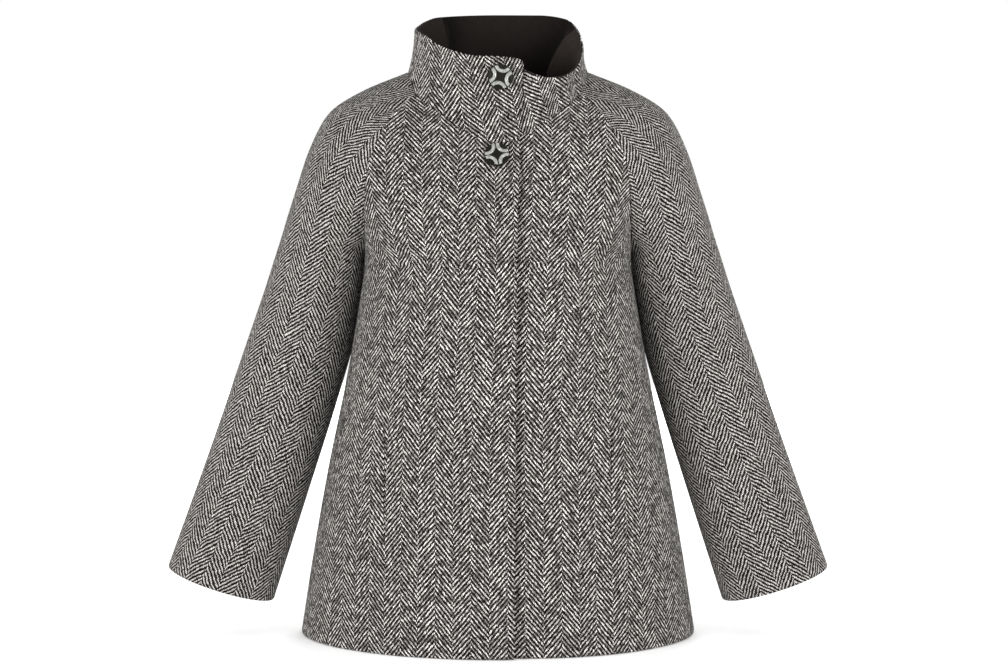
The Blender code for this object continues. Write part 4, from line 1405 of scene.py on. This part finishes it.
def add_coat():
    wool = herringbone_wool("herringbone_wool", BODY_PATCHES, BODY_STRAY)
    sleeve_wool = herringbone_wool("herringbone_wool_sleeves", SLEEVE_PATCHES, SLEEVE_STRAY)
    facing_cloth = black_facing()
    lining = black_lining()
    fronts = {
        "front_right": front_panel(-1.0, RIGHT_FRONT_APEX, RIGHT_FRONT_DRIFT),
        "front_left": front_panel(1.0, LEFT_FRONT_APEX, LEFT_FRONT_DRIFT),
    }
    for node, front in fronts.items():
        add_cloth(node, front, FRONT_EDGES, wool, "herringbone_wool", ["back"], lining=lining)
    add_cloth("back", back_panel(), BACK_EDGES, wool, "herringbone_wool", ["collar"], lining=lining)
    for node, side in (("sleeve_right", -1.0), ("sleeve_left", 1.0)):
        sleeve = sleeve_panel(side)
        add_cloth(node, sleeve, SLEEVE_EDGES, sleeve_wool, "herringbone_wool", ["back"], lining=lining)
    collar = collar_panel()
    add_cloth("collar", collar, COLLAR_EDGES, wool, "herringbone_wool", ["back"])
    add_cloth("collar_facing", facing_panel(collar), ALL_FREE, facing_cloth, "black_facing", ["collar"],
              wall=FACING_WALL, sunk=WALL + LAYER_GAP, hold=FACING_HOLD)
    for node, under in (("pocket_welt_right", "front_right"), ("pocket_welt_left", "front_left")):
        welt = welt_panel(under, fronts[under])
        add_cloth(node, welt, ALL_FREE, wool, "herringbone_wool", [under], held="laid",
                  wall=WELT_WALL, sunk=-(WELT_WALL + LAYER_GAP))
    add_buttons()


# Stage

def add_floor():
    start_piece()
    bpy.ops.mesh.primitive_plane_add(size=FLOOR_SIZE, location=(0.0, 0.0, HEM_HEIGHT - FLOOR_GAP))
    floor = bpy.context.object
    floor.name = "floor"
    shading = Shading("pale_floor", roughness=0.9)
    shading.finish({"Base Color": FLOOR_WHITE, "Specular IOR Level": 0.0,
                    "Emission Color": WHITE, "Emission Strength": FLOOR_GLOW})
    floor.data.materials.append(shading.material)


def aim_at(thing, place, aim):
    """Puts a light or the camera in its place, turned to what it looks at."""
    thing.location = place
    thing.rotation_euler = (aim - place).to_track_quat("-Z", "Y").to_euler()
    bpy.context.scene.collection.objects.link(thing)


def add_lights():
    world = bpy.data.worlds.new("studio")
    world.use_nodes = True
    sky = world.node_tree.nodes["Background"]
    sky.inputs["Color"].default_value = WHITE
    sky.inputs["Strength"].default_value = 1.0
    bpy.context.scene.world = world
    for name, light in LIGHTS.items():
        lamp = bpy.data.lights.new(name, "AREA")
        lamp.shape = "RECTANGLE"
        lamp.size = light.width
        lamp.size_y = light.height
        lamp.energy = light.power
        aim_at(bpy.data.objects.new(name, lamp), light.place, LIGHT_AIM)
    bpy.context.scene.view_settings.view_transform = "Standard"


def add_camera():
    lens = bpy.data.cameras.new("camera")
    lens.sensor_width = SENSOR
    lens.lens = SENSOR * (CAMERA_AIM - CAMERA_PLACE).length / (IMAGE_WIDTH * PIXEL)
    camera = bpy.data.objects.new("camera", lens)
    aim_at(camera, CAMERA_PLACE, CAMERA_AIM)
    bpy.context.scene.camera = camera


add_camera()
add_coat()
add_floor()
add_lights()
